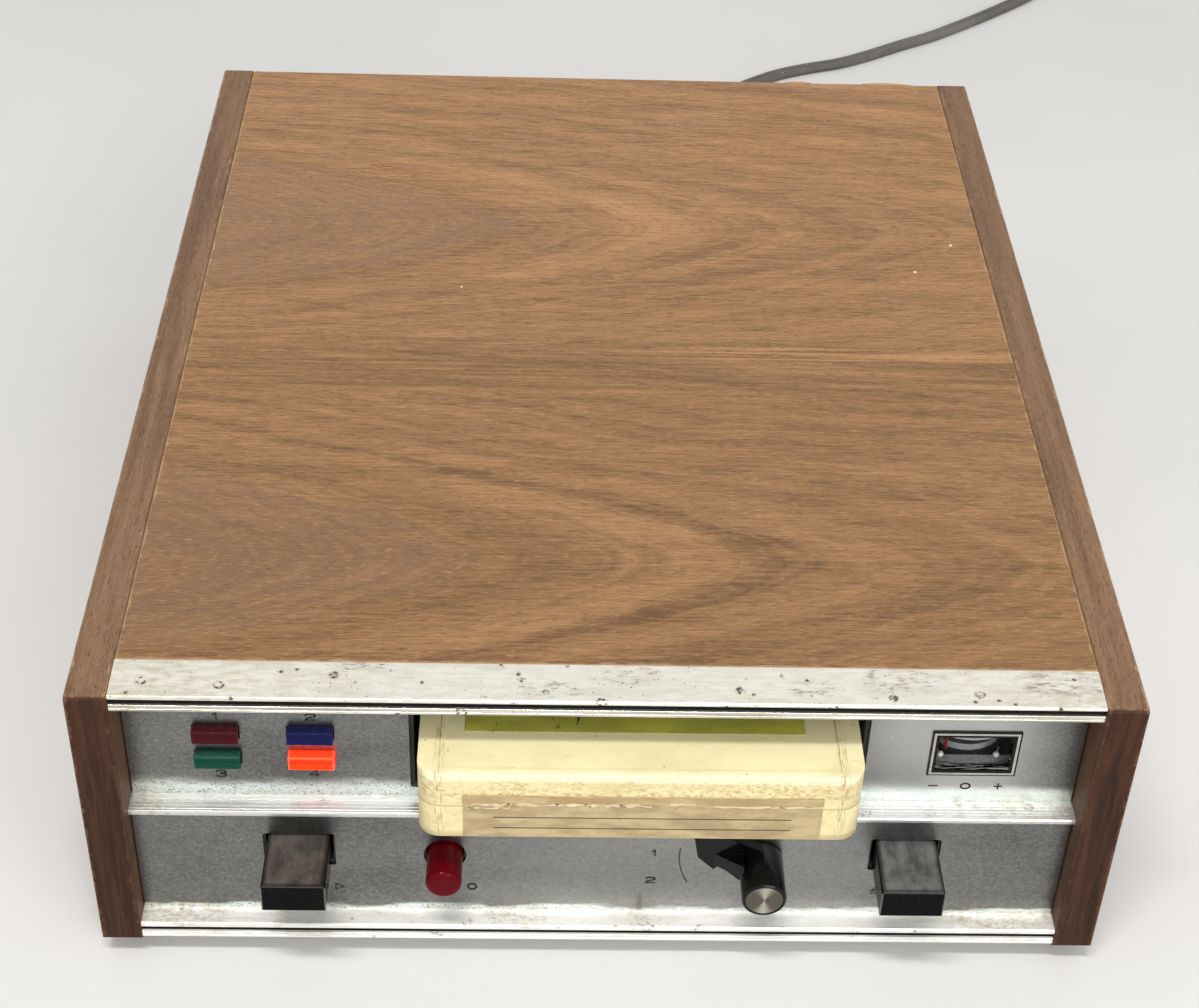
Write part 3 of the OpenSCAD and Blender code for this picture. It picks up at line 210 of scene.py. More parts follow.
class Surface:
    """A procedural finish. Each method adds nodes and gives back the field or the colour that they make."""

    def __init__(self, name, colour, roughness, metallic=0.0, **more):
        self.material = bpy.data.materials.new(name)
        self.material.use_nodes = True
        self.tree = self.material.node_tree
        self.shader = self.tree.nodes["Principled BSDF"]
        self.point = self.add("ShaderNodeTexCoord").outputs["Object"]
        self.normal = None
        more = {"Base Color": colour, "Roughness": roughness, "Metallic": metallic, **more}
        for socket, value in more.items():
            self.set(socket.replace("_", " "), value)

    def add(self, kind, inputs=None, **settings):
        node = self.tree.nodes.new(kind)
        for key, value in settings.items():
            setattr(node, key, value)
        for socket, value in (inputs or {}).items():
            self.feed(node.inputs[socket], value)
        return node

    def field(self, kind, inputs, **settings):
        """The first output of a new node, as a field."""
        return Field(self, self.add(kind, inputs, **settings).outputs[0])

    def feed(self, socket, value):
        if isinstance(value, Field):
            value = value.socket
        if isinstance(value, bpy.types.NodeSocket):
            self.tree.links.new(value, socket)
        elif hasattr(value, "__len__") and len(value) == 3 and socket.type == "RGBA":
            socket.default_value = (*value, 1)
        else:
            socket.default_value = value

    def set(self, socket, value):
        self.feed(self.shader.inputs[socket], value)

    def math(self, operation, a, b=0.0):
        return self.field("ShaderNodeMath", {0: a, 1: b}, operation=operation)

    def vector(self, operation, inputs):
        return self.add("ShaderNodeVectorMath", inputs, operation=operation).outputs[0]

    def larger(self, a, b):
        return self.math("MAXIMUM", a, b)

    def smaller(self, a, b):
        return self.math("MINIMUM", a, b)

    def axis(self, k):
        """One coordinate of the surface, in millimetres."""
        return Field(self, self.add("ShaderNodeSeparateXYZ", {0: self.point}).outputs[k]) * (1 / MM)

    def scaled(self, size, seed=0.0):
        """The surface's point, in which size millimetres, along all axes or along each, are one unit."""
        size = size if isinstance(size, tuple) else (size,) * 3
        place_of = {"Location": (seed, seed * 1.7, seed * 2.3), "Scale": [1 / (MM * s) for s in size]}
        return self.add("ShaderNodeMapping", {"Vector": self.point, **place_of}).outputs[0]

    def noise(self, size, seed=0.0, detail=3.0, rough=0.5, bend=0.0):
        """Noise whose features are about size millimetres, around 0.5."""
        looks = {"Scale": 1.0, "Detail": detail, "Roughness": rough, "Distortion": bend}
        return self.field("ShaderNodeTexNoise", {"Vector": self.scaled(size, seed), **looks})

    def cells(self, size, seed=0.0, wobble=0.0):
        """Random cells: the distance to the nearest one's middle, in cells, and that cell's random number."""
        spot = self.scaled(size, seed)
        if wobble:
            noise = self.add("ShaderNodeTexNoise", {"Vector": spot, "Scale": 5.0, "Detail": 3.0, "Roughness": 0.7})
            shift = self.vector("SUBTRACT", {0: noise.outputs["Color"], 1: (0.5,) * 3})
            spot = self.vector("ADD", {0: spot, 1: self.vector("SCALE", {0: shift, "Scale": wobble})})
        node = self.add("ShaderNodeTexVoronoi", {"Vector": spot, "Scale": 1.0})
        chance = self.field("ShaderNodeSeparateColor", {0: node.outputs["Color"]})
        return Field(self, node.outputs["Distance"]), chance

    def specks(self, size, seed, wobble, full, gone, above, strength=1.0):
        """Spots in the cells whose random number is above a limit: full and gone are their radii, in cells."""
        far, chance = self.cells(size, seed, wobble)
        return self.fade(far, full, gone, strength) * (chance > above)

    def step(self, value, low, high, start=0.0, end=1.0):
        """A smooth step from start to end as value goes from low to high."""
        ends = {"Value": value, "From Min": low, "From Max": high, "To Min": start, "To Max": end}
        return self.field("ShaderNodeMapRange", ends, interpolation_type="SMOOTHSTEP")

    def fade(self, value, low, high, start=1.0):
        """A smooth step from start to nothing as value goes from low to high."""
        return self.step(value, low, high, start, 0.0)

    def mix(self, share, a, b):
        """Colour a, with that share of colour b in it."""
        node = self.add("ShaderNodeMix", data_type="RGBA")
        colours = {s.name: s for s in node.inputs if s.type == "RGBA"}
        for socket, value in ((node.inputs["Factor"], share), (colours["A"], a), (colours["B"], b)):
            self.feed(socket, value)
        return next(s for s in node.outputs if s.type == "RGBA")

    def near(self, centre, size, seed=0.0, ragged=0.5):
        """A ragged patch: 1 near the centre, 0 past size millimetres from it. A size of 0 leaves an axis out."""
        away = None
        for k in range(3):
            if size[k]:
                far = (self.axis(k) - centre[k] / MM) / size[k]
                away = far * far if away is None else away + far * far
        edge = away + self.noise(3, seed, 4.0, 0.65) * (ragged * 2)
        return self.fade(edge, ragged + 0.35, ragged + 1.0)

    def edge(self, low, high):
        """Distance in millimetres from the nearest edge of a box, on its faces."""
        gaps = []
        for k in range(3):
            middle, half = (low[k] + high[k]) / 2 / MM, (high[k] - low[k]) / 2 / MM
            gaps.append(half - abs(self.axis(k) - middle))
        small, large = self.smaller(gaps[0], gaps[1]), self.larger(gaps[0], gaps[1])
        return self.larger(small, self.smaller(large, gaps[2]))

    def bump(self, height, depth):
        """Relief of that depth in millimetres, on top of the relief so far."""
        inputs = {"Height": height, "Distance": depth * MM, "Strength": 1.0}
        if self.normal:
            inputs["Normal"] = self.normal
        self.normal = self.add("ShaderNodeBump", inputs).outputs[0]
        self.set("Normal", self.normal)


def shade(colour, amount):
    return tuple(c * amount for c in colour)


def plain(name, colour, roughness, metallic=0.0, mottle=0.12, size=6, fine=0.4, relief=0.01, **more):
    """A moulded, painted or plated finish: uneven tone, rubbed patches and a fine skin."""
    s = Surface(name, colour, roughness, metallic, **more)
    cloud = s.noise(size, 3.1, 5.0, 0.6)
    s.set("Base Color", s.mix(s.step(cloud, 0.3, 0.7), shade(colour, 1 - mottle), shade(colour, 1 + mottle)))
    grain = s.noise(fine, 7.7, 2.0)
    rough = s.step(cloud, 0.35, 0.7, -0.06, 0.08) + s.step(grain, 0.3, 0.7, -0.04, 0.04)
    s.set("Roughness", rough + roughness)
    s.bump(grain, relief)
    return s


def turned_metal(name, colour, roughness=0.3, size=(0.25, 0.25, 4)):
    """Machined or drawn metal with fine lines and a few stains."""
    s = Surface(name, colour, roughness, 1.0)
    lines = s.noise(size, 2.0, 3.0, 0.6)
    stain = s.noise(9, 5.0, 5.0, 0.65)
    s.set("Base Color", s.mix(s.step(stain, 0.45, 0.75), colour, shade(colour, 0.6)))
    s.set("Roughness", s.step(lines, 0.3, 0.7, -0.08, 0.1) + roughness)
    s.bump(lines, 0.008)
    return s


# Walnut on the veneered top, on the side boards and on the boards' front ends
VENEER_PALE = (0.56, 0.3, 0.127)
VENEER_LIGHT = (0.485, 0.262, 0.116)
VENEER_MID = (0.345, 0.182, 0.08)
VENEER_DARK = (0.195, 0.1, 0.043)
VENEER_HEART = (0.27, 0.152, 0.088)
VENEER_FLECK = (0.6, 0.36, 0.19)
VENEER_PORE = (0.075, 0.035, 0.016)
VENEER_SPECK = (0.78, 0.66, 0.5)
BARE_WOOD = (0.52, 0.35, 0.2)
BOARD_LIGHT = (0.26, 0.15, 0.085)
BOARD_DARK = (0.115, 0.062, 0.036)
BOARD_FLECK = (0.42, 0.26, 0.15)
BOARD_PORE = (0.05, 0.025, 0.014)
END_LIGHT = (0.066, 0.024, 0.011)
END_DARK = (0.024, 0.009, 0.0045)
END_PORE = (0.014, 0.006, 0.004)
# Worn wood on a board's faces, and on its front end
BOARD_ARRIS = ((0.46, 0.3, 0.18), (0.19, 0.09, 0.045))
BOARD_RUB = ((0.5, 0.35, 0.23), (0.16, 0.075, 0.04))
SEAM_DEPTH = 139  # where the two leaves of veneer meet, behind the boards' front
# The two veneer leaves' arched grain, rear and front: the outermost arch's tip, sideways and in depth, and how
# narrow the arches are
ARCHES = ((39, 201, 3.9), (34, 49.4, 3.6))
ARCH_POWER = 1.6  # 2 makes parabolas, and less makes their tips more pointed
GRAIN_LEFT = -135  # the arches are evenly spaced where they cross this line
# Places in an arch, sideways from its tip: the pale band inside the outline, and the tip of the dark heart
PALE_BAND = -34
HEART = -66


def wood_fibres(s, along):
    """Fine streaks, dark pores and pale flecks along an axis: three fields, each about 0 to 1."""

    def noise(length, width, *more):
        return s.noise(tuple(length if k == along else width for k in range(3)), *more)

    pores = s.step(noise(2.2, 0.26, 4.0, 2.0), 0.58, 0.7)
    flecks = s.step(noise(3.0, 0.42, 19.0, 2.0), 0.56, 0.72)
    return noise(16, 0.5, 11.0, 5.0, 0.65, 0.12), pores, flecks


def arched_grain(s, tip_x, tip_depth, narrow, seed):
    """A leaf whose growth rings are nested arches that open towards -X: its tone, its fibres and its heart."""
    drift = (s.noise((130, 60, 60), seed, 2.0, 0.5) - 0.5) * 26.0
    waves = (s.noise((26, 10, 20), seed + 4, 4.0, 0.6) - 0.5) * 7.0
    off = s.axis(1) - place(0, tip_depth, 0).y / MM
    off = off + waves + drift * s.step(abs(off), 8, 50)
    along = s.axis(0) - tip_x
    arch = abs(off) ** ARCH_POWER / narrow + along
    spread = s.larger((arch + (tip_x - GRAIN_LEFT)) * narrow, 0.0)
    reach = spread ** (1 / ARCH_POWER)
    looks = {"Scale": 1.0, "Detail": 4.0}
    rings = s.field("ShaderNodeTexNoise", {"W": reach / 8.0, "Roughness": 0.6, **looks}, noise_dimensions="1D")
    spot = s.add("ShaderNodeCombineXYZ", {0: s.axis(0) / 20, 1: reach / 0.8, 2: off / 25}).outputs[0]
    fibres = s.field("ShaderNodeTexNoise", {"Vector": spot, "Roughness": 0.65, **looks})
    tone = s.step(rings, 0.32, 0.68, 0.26, 0.76)
    frayed = arch + s.step(fibres, 0.3, 0.7, -5, 5)
    outline = s.fade(abs(frayed - 6.0), 1.5, 12.0, 0.5)
    outline = outline * s.step(s.noise((22, 14, 20), seed + 9, 3.0), 0.34, 0.6, 0.35, 1.0)
    band = s.step(frayed, PALE_BAND, PALE_BAND / 2, 0.0, 0.42) * s.fade(frayed, -6, 0)
    band = band * s.step(along, -105, -25, 0.1, 1.0)
    heart = s.fade(arch + s.step(fibres, 0.3, 0.7, -6, 6), HEART - 7, HEART + 3)
    return tone + band - outline, fibres, heart


def veneer():
    """The top: two leaves of arched walnut grain that meet in a dark streak at the seam."""
    s = Surface("walnut_top", VENEER_LIGHT, 0.45, Specular_IOR_Level=0.22)
    from_seam = s.axis(1) - place(0, SEAM_DEPTH, 0).y / MM
    waver = (s.noise((60, 8, 20), 31.0, 3.0) - 0.5) * 7.0
    rear = s.step(from_seam + waver, -0.5, 0.5)
    front = 1.0 - rear
    leaves = [arched_grain(s, *arch, 1.5 + 20 * i) for i, arch in enumerate(ARCHES)]
    rings, fibres, heart = (rear * a + front * b for a, b in zip(*leaves))
    streaks, pores, flecks = wood_fibres(s, 0)
    broad = s.noise((70, 6, 12), 27.0, 4.0, 0.6, 0.3)
    strokes = s.noise((5.5, 0.45, 6), 23.0, 3.0, 0.55, 0.25)
    tone = rings * 0.54 + s.step(fibres, 0.28, 0.72, 0.0, 0.22) + s.step(streaks, 0.28, 0.72, -0.14, 0.3)
    tone = tone + s.step(strokes, 0.32, 0.68, -0.15, 0.19) + s.step(broad, 0.3, 0.7, -0.12, 0.12)
    colour = s.mix(s.step(tone, 0.0, 0.55), VENEER_DARK, VENEER_MID)
    colour = s.mix(s.step(tone, 0.45, 1.05), colour, VENEER_LIGHT)
    colour = s.mix(heart * s.step(fibres, 0.3, 0.7, 0.8, 0.2), colour, VENEER_HEART)
    # long streaks close to the seam: dark ones in front of it, and a pale one at its right
    near_seam = s.fade(abs(from_seam + s.step(broad, 0.3, 0.7, 2, 16)), 1, 15)
    dark_lines = s.step(s.noise((90, 1.6, 9), 15.0, 4.0, 0.6, 0.2), 0.44, 0.6)
    colour = s.mix(near_seam * dark_lines * 0.75, colour, VENEER_DARK)
    pale = s.near(place(62, SEAM_DEPTH - 2, CASE_H / MM), (62, 4.5, 0), 41.0, 0.5)
    pale = pale * s.step(s.noise((60, 1.2, 9), 18.0, 3.0, 0.6), 0.4, 0.58)
    colour = s.mix(pale * 0.7, colour, VENEER_PALE)
    # Painted shade: the top's colour is scaled darker towards its front.
    painted_front_shade = s.step(s.axis(1), panel_low.y / MM, panel_high.y / MM, 0.71, 0.97)
    colour = s.vector("SCALE", {0: colour, "Scale": painted_front_shade})
    colour = s.mix(flecks * 0.3, colour, VENEER_FLECK)
    colour = s.mix(pores * 0.55, colour, VENEER_PORE)
    # pale specks and the light line where the lacquer is worn off at the panel's edges
    speck = s.specks(13, 3.0, 0, 0.025, 0.05, 0.86)
    worn = s.edge(panel_low, panel_high) - s.step(s.noise(5, 8.0, 4.0), 0.4, 0.7, 0.0, 0.7)
    colour = s.mix(speck, colour, VENEER_SPECK)
    colour = s.mix(s.fade(worn, 0.0, 0.5, 0.4), colour, BARE_WOOD)
    s.set("Base Color", colour)
    dull = s.noise(30, 12.0, 4.0, 0.6)
    s.set("Roughness", s.step(dull, 0.3, 0.7, 0.38, 0.52) + pores * 0.2)
    s.bump(streaks * 0.4 - pores, 0.035)
    return s


def board_wood(name, node):
    """A side board: grain along its depth, an upright-grained front end, and pale worn edges."""
    s = Surface(name, BOARD_LIGHT, 0.5, Specular_IOR_Level=0.16)
    low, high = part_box(node)
    streaks, pores, flecks = wood_fibres(s, 1)
    slow = s.noise((5, 90, 7), 2.0, 4.0, 0.6, 0.2)
    tone = s.step(slow, 0.33, 0.66, 0.0, 0.6) + s.step(streaks, 0.28, 0.72, 0.0, 0.4)
    colour = s.mix(tone, BOARD_DARK, BOARD_LIGHT)
    colour = s.mix(flecks * 0.25, colour, BOARD_FLECK)
    colour = s.mix(pores * 0.5, colour, BOARD_PORE)
    # the front end's own veneer stands upright
    upright = s.noise((2.6, 3, 34), 5.0, 5.0, 0.6, 0.9)
    end = s.mix(s.step(upright, 0.34, 0.66), END_DARK, END_LIGHT)
    end_lines = s.noise((0.5, 2, 9), 21.0, 4.0, 0.6, 0.3)
    end = s.mix(s.step(end_lines, 0.52, 0.72, 0.0, 0.5), end, END_PORE)
    at_end = s.fade(s.axis(1), low.y / MM + 0.35, low.y / MM + 1.0)
    colour = s.mix(at_end, colour, end)
    ragged = s.step(s.noise((2.5, 7, 2.5), 8.0, 5.0, 0.7), 0.4, 0.75, 0.0, 1.0)
    middle = (low.x + high.x) / 2
    outward = (s.axis(0) - middle / MM) * math.copysign(1.0, middle)
    frayed = s.larger(s.step(outward, -4.6, -3.6, 0.15, 0.6), at_end * 0.22)
    worn = s.fade(s.edge(low, high) - ragged, -0.1, 0.4) * frayed
    colour = s.mix(worn, colour, s.mix(at_end, *BOARD_ARRIS))
    rubs = s.step(s.noise((3, 9, 3), 14.0, 4.0, 0.65), 0.66, 0.76, 0.0, 0.5)
    colour = s.mix(rubs, colour, s.mix(at_end, *BOARD_RUB))
    half = (high.x - low.x) / 2 / MM
    colour = s.mix(s.fade(outward, -half + 0.02, -half + 0.3, 0.6), colour, END_LIGHT)
    s.set("Base Color", colour)
    s.set("Roughness", s.step(slow, 0.3, 0.7, 0.42, 0.56) + pores * 0.2)
    s.bump(streaks * 0.4 - pores, 0.04)
    return s


METAL_CLEAN = (0.9, 0.88, 0.8)
METAL_DULL = (0.56, 0.535, 0.46)
LEDGE_CLEAN = (0.62, 0.63, 0.63)
SILL_CLEAN = (0.95, 0.945, 0.92)
TARNISH = (0.6, 0.54, 0.38)
PIT = (0.075, 0.058, 0.04)
RUST = (0.36, 0.25, 0.1)
UNDERSIDE = (0.2, 0.18, 0.14)
# Cloudy stains on the top trim, sideways and depth, with their reach
TRIM_STAINS = ((-55, 11, 8, 2.5), (-14, 4.5, 10, 3), (66, 8.5, 12, 5), (46, 5.5, 7, 4), (103, 8.5, 13, 5),
               (4, 9, 9, 4))
# Rust on the lower trims: sideways, depth, height and reach
BOTTOM_RUST = ((98, 5, 7, 18), (-102, 5, 7, 14), (9, 5, 7, 3), (-20, 5, 7, 10))
LEDGE_RUST = ((102, 7, 42, 14), (-108, 7, 42, 5))


def aged_trim(name, stains=(), rust_places=(), metallic=0.92, stained=1.0, clean=METAL_CLEAN, worn=1.0,
              dark_below=0.0):
    """Bright extruded aluminium with drawn lines, pits, corrosion rings, cloudy stains and rust at the ends.

    stained and worn are the strength of the dark marks and of the dull places. Below the height dark_below, if
    there is one, the metal is shaded.
    """
    s = Surface(name, clean, 0.22, metallic)
    lines = s.noise((60, 0.2, 0.2), 3.0, 4.0, 0.65)
    haze = s.noise((24, 5, 5), 6.0, 5.0, 0.65)
    colour = s.mix(s.step(haze, 0.46, 0.72, 0.0, 0.5 * worn), clean, METAL_DULL)
    colour = s.mix(s.step(lines, 0.35, 0.7, 0.0, 0.25 * worn), colour, METAL_DULL)
    tarnish = s.step(s.noise((5, 1.6, 1.6), 12.0, 5.0, 0.7), 0.4, 0.65)
    leftward = s.larger(s.step(s.axis(0), -115, -30, 0.8, 0.3), s.step(s.axis(0), 40, 100, 0.0, 0.65))
    colour = s.mix(tarnish * (leftward * worn), colour, TARNISH)
    pit = s.specks(4.6, 2.0, 0.22, 0.05, 0.17, 0.5)
    ring_far, ring_chance = s.cells(6.5, 9.0, 0.14)
    off_ring = abs(ring_far - 0.16)
    gaps = s.step(s.noise(0.9, 5.0, 3.0, 0.7), 0.4, 0.58)
    ring = s.fade(off_ring, 0.02, 0.08) * (ring_chance > 0.45) * gaps
    fine = s.specks(1.2, 5.0, 0.3, 0.08, 0.26, 0.7, 0.9)
    marks = s.larger(s.larger(pit, ring), fine * s.step(haze, 0.4, 0.62)) * stained
    for i, (x, depth, reach_x, reach_y) in enumerate(stains):
        patch = s.near(place(x, depth, CASE_H / MM), (reach_x, reach_y, 0), 1.0 + i)
        broken = s.step(s.noise((2.6, 0.5, 0.5), 3.0 + i, 5.0, 0.7), 0.4, 0.66)
        smudge = s.step(s.noise((3.2, 1.6, 1.6), 23.0 + i, 5.0, 0.7), 0.42, 0.62)
        marks = s.larger(marks, patch * smudge * (broken * 0.95))
    colour = s.mix(marks, colour, PIT)
    for i, (x, depth, height, reach) in enumerate(rust_places):
        patch = s.near(place(x, depth, height), (reach, 6, 4), 7.0 + i, 0.7)
        broken = s.step(s.noise((1.6, 1.0, 1.0), 13.0 + i, 5.0, 0.75), 0.42, 0.66)
        colour = s.mix(patch * broken * 0.6, colour, RUST)
    if dark_below:
        drawn = s.step(s.noise((40, 9, 0.3), 17.0, 3.0, 0.6), 0.42, 0.56)
        colour = s.mix(s.fade(s.axis(2), dark_below - 0.2, dark_below, 0.6) * drawn, colour, UNDERSIDE)
    s.set("Base Color", colour)
    s.set("Metallic", metallic - marks * 0.6)
    rough = s.step(haze, 0.4, 0.75, 0.17, 0.4) + marks * 0.4
    s.set("Roughness", rough + s.step(lines, 0.3, 0.7, -0.03, 0.05))
    s.bump(lines * 0.25 - marks, 0.018)
    return s


PLATE = (0.115, 0.115, 0.113)
PLATE_PALE = (0.27, 0.272, 0.266)
# PLATE_REFLECTED is the colour of a painted reflection: a brighter place on a plate
PLATE_REFLECTED = (0.56, 0.56, 0.54)
# PLATE_BRIGHT colours the bright flakes and scratches, and the painted reflection at a plate's foot
PLATE_BRIGHT = (0.8, 0.86, 0.85)
GRIME = (0.42, 0.36, 0.19)
DRIP = (0.13, 0.115, 0.1)


def brushed_plate(name, node, foot, reflection_place, drips=()):
    """Satin faceplate: fine grain and brushing, a bright peppered foot that is a painted reflection, grime low
    down and rust drips.

    foot is the height of the bright foot, a painted reflection. reflection_place holds the middle, the reach and
    the strength of a brighter place, which is a painted reflection, and each drip its place sideways, its top and
    its length.
    """
    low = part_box(node)[0]
    s = Surface(name, PLATE, 0.34, 1.0)
    lines = s.noise((18, 14, 0.14), 1.0, 3.0, 0.6)
    grain = s.noise((0.9, 0.7, 0.7), 5.0, 4.0, 0.75)
    cloud = s.noise((30, 9, 12), 2.0, 3.0, 0.5)
    tone = s.step(grain, 0.36, 0.66, 0.0, 0.55) + s.step(cloud, 0.3, 0.7, 0.0, 0.25)
    tone = tone + s.step(lines, 0.3, 0.7, 0.0, 0.12)
    # Painted reflection: a brighter place sideways, its middle, reach and strength given by reflection_place.
    middle, reach, lift = reflection_place
    off = abs(s.axis(0) - middle)
    colour = s.mix(tone, PLATE, PLATE_PALE)
    colour = s.mix(s.fade(off, 0.3 * reach, reach, lift), colour, PLATE_REFLECTED)
    flake = s.specks(2.2, 6.0, 0.25, 0.03, 0.11, 0.7)
    scratch = s.step(s.noise((3, 4, 0.22), 29.0, 2.0, 0.5, 0.5), 0.7, 0.74)
    colour = s.mix(s.larger(flake * 0.45, scratch * 0.25), colour, PLATE_BRIGHT)
    # Painted reflection: the ledge's light as a bright peppered band at the plate's foot, about foot millimetres
    # high.
    height = s.axis(2) - low.z / MM
    waved = height + s.step(s.noise((16, 5, 5), 8.0, 3.0, 0.6), 0.3, 0.7, -0.8, 0.8)
    pepper = s.step(s.noise((0.7, 0.7, 0.4), 17.0, 3.0, 0.7), 0.36, 0.46)
    pepper = s.larger(pepper, s.step(s.axis(0), -25, 50, 0.1, 0.8))
    glow = s.fade(waved, 0.45 * foot, 1.25 * foot, 0.9) * pepper
    colour = s.mix(glow, colour, PLATE_BRIGHT)
    spots = s.step(s.noise((1.6, 4, 0.7), 3.0, 5.0, 0.75), 0.46, 0.6)
    grime = s.fade(height, 0.2, 1.8) * spots
    colour = s.mix(grime * 0.4, colour, GRIME)
    for i, (x, top, length) in enumerate(drips):
        drip = s.near(place(x, 0, top - length / 2), (0.9, 0, length / 2), 4.0 + i, 0.5)
        colour = s.mix(drip * 0.5, colour, DRIP)
    s.set("Base Color", colour)
    s.set("Roughness", s.step(lines, 0.3, 0.7, 0.28, 0.4) + grime * 0.2)
    s.bump(lines + grain * 0.5, 0.008)
    return s


CREAM = (0.87, 0.8, 0.48)
CREAM_PALE = (0.9, 0.86, 0.63)
# CREAM_AGED_SHADE is yellowed cream, also used as painted shade on the faces below the top
CREAM_AGED_SHADE = (0.7, 0.57, 0.29)
CREAM_BROWN = (0.56, 0.41, 0.17)
CREAM_DIRT = (0.36, 0.25, 0.1)


def cream_shell():
    """Yellowed cream plastic: a pale front arris, brown mottling below it, dirt in the joints, small stains, and
    faces below the top darkened, partly as aged colour and partly as painted shade.
    """
    s = Surface("cartridge_shell", CREAM, 0.36, Specular_IOR_Level=0.3, Subsurface_Weight=0.05,
                Subsurface_Radius=(0.002, 0.0015, 0.0006))
    low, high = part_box("cartridge_bottom")[0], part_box("cartridge_top")[1]
    cloud = s.noise((18, 11, 7), 4.0, 5.0, 0.6)
    fine = s.noise((1.3, 1.3, 0.8), 14.0, 5.0, 0.72)
    back = s.axis(1) - low.y / MM
    down = high.z / MM - s.axis(2)
    across = abs(s.axis(0) - (low.x + high.x) / 2 / MM)
    at_front = s.fade(back, 1.2, 3.0)
    below = s.step(down, 0.9, 2.2)
    # Painted shade, with ageing: the faces more than about 2 mm below the top lean towards CREAM_AGED_SHADE,
    # besides the cloudy yellowing.
    aged_and_shade = s.step(cloud, 0.4, 0.72, 0.0, 0.5) + below * 0.4
    colour = s.mix(aged_and_shade, CREAM, CREAM_AGED_SHADE)
    upper = at_front * below * s.step(down, 5.5, 8.0, 1.0, 0.35)
    mottle = s.step(fine, 0.46, 0.6) * s.step(s.noise((9, 6, 5), 22.0, 4.0, 0.65), 0.36, 0.6, 0.3, 0.95)
    colour = s.mix(upper * mottle, colour, CREAM_BROWN)
    arris = s.fade(back, 0.8, 1.8) * s.fade(down, 1.6, 2.6)
    colour = s.mix(arris * s.step(fine, 0.4, 0.65, 0.8, 0.25), colour, CREAM_PALE)
    dirt = s.specks(2.6, 8.0, 0.2, 0.05, 0.15, 0.8)
    smear = s.step(s.noise((7, 4, 1.4), 10.0, 5.0, 0.7), 0.6, 0.76)
    streaks = s.step(s.noise((0.35, 5, 3), 25.0, 4.0, 0.7), 0.46, 0.62)
    ribs = s.fade(abs(across - 46.0), 0.5, 1.6, 0.7) * streaks * s.step(back, 10, 22, 1.0, 0.25)
    parting = abs(s.axis(2) - (low.z + high.z) / 2 / MM)
    line = s.fade(parting, 0.08, 0.4, 0.5)
    seam = s.fade(abs(down - 6.3), 0.1, 0.8, 0.8) * mottle
    foot = s.step(down, 17.5, 19.5, 0.0, 0.5) * at_front
    dirty = s.larger(dirt * 0.65, smear * 0.35)
    for more in (line, ribs, seam * at_front, foot):
        dirty = s.larger(dirty, more)
    s.set("Base Color", s.mix(dirty, colour, CREAM_DIRT))
    s.set("Roughness", s.step(cloud, 0.3, 0.7, 0.28, 0.44))
    s.bump(fine - line * 2.0, 0.02)
    return s


def worn_plastic(name, colour, node, roughness=0.14, scuff=(0.2, 0.18, 0.17), rubbed=0.3, sheen_film=0.0, gloss=0.05):
    """Gloss moulding whose top face has a pale film and a few blotches towards its rear, partly rubbed wear and
    partly painted sheen; dust and pale arrises.
    """
    s = Surface(name, colour, roughness, Specular_IOR_Level=gloss)
    low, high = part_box(node)
    middle = (low + high) / 2
    blotch = s.step(s.noise((1.7, 1.4, 1.4), 3.0, 3.0, 0.5), 0.5, 0.62)
    rear = Vector((middle.x, middle.y + 0.1 * (high.y - low.y), high.z))
    half = (high.x - low.x) / 2 / MM
    rub = blotch * s.near(rear, (0.95 * half, 0.4 * half, 0), 33.0, 0.4)
    # Painted sheen: the pale film and the blotches go on the top face alone, partly as rubbed wear and partly as
    # painted reflection.
    facing = s.step(s.axis(2), high.z / MM - 0.6, high.z / MM - 0.1)
    inside = s.step(s.edge(low, high), 0.5, 1.6)
    smear = s.step(s.noise((4, 7, 4), 6.0, 5.0, 0.65), 0.33, 0.67, 0.45, 1.0)
    wear = (rub * rubbed + smear * sheen_film) * facing * (inside * 0.7 + 0.3)
    dust = s.specks(0.9, 4.0, 0.2, 0.06, 0.16, 0.88)
    scratch = s.step(s.noise((0.25, 6, 6), 9.0, 2.0, 0.6, 0.6), 0.68, 0.74)
    arris = s.fade(s.edge(low, high), 0.1, 0.4, 0.6)
    for more in (arris, dust * 0.2, scratch * 0.1):
        wear = s.larger(wear, more)
    s.set("Base Color", s.mix(wear, colour, scuff))
    s.set("Roughness", wear * 0.4 + roughness)
    s.bump(s.noise(0.6, 1.0) + rub * 0.6, 0.008)
    return s


def lens_plastic(name, colour, pale, node, glow=0.0):
    """A moulded lens: paler worn top, a moulded zigzag that shows through, and a glow where its lamp is lit."""
    s = Surface(name, colour, 0.18, Specular_IOR_Level=0.08)
    low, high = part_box(node)
    top = s.step(s.axis(2), high.z / MM - 1.5, high.z / MM - 1.02)
    scuff = s.noise((0.9, 0.5, 0.5), 2.0, 4.0, 0.7)
    height = s.axis(2) - (low.z + high.z) / 2 / MM
    zigzag = s.math("PINGPONG", s.axis(0), 0.55) * 1.5
    row = abs(height + zigzag - 1.1)
    beads = s.step(s.noise((0.5, 2, 0.5), 6.0, 1.0), 0.4, 0.55, 0.5, 1.0)
    pattern = s.fade(row, 0.22, 0.42) * beads
    dusty = top * s.step(scuff, 0.4, 0.7, 0.25, 0.75)
    base = s.mix(pattern * 0.75, colour, shade(colour, 0.3))
    base = s.mix(dusty * (0.15 if glow else 1.0), base, pale)
    step_in = Vector((MM, 0, MM))
    rim = s.edge(low + step_in, high - step_in)
    base = s.mix(s.fade(rim, 0.1, 0.55, 0.6 if glow else 0.2), base, pale)
    s.set("Base Color", base)
    s.set("Roughness", s.step(scuff, 0.3, 0.7, 0.18, 0.4))
    if glow:
        s.set("Emission Color", base)
        s.set("Emission Strength", glow)
    s.bump(scuff, 0.02)
    return s


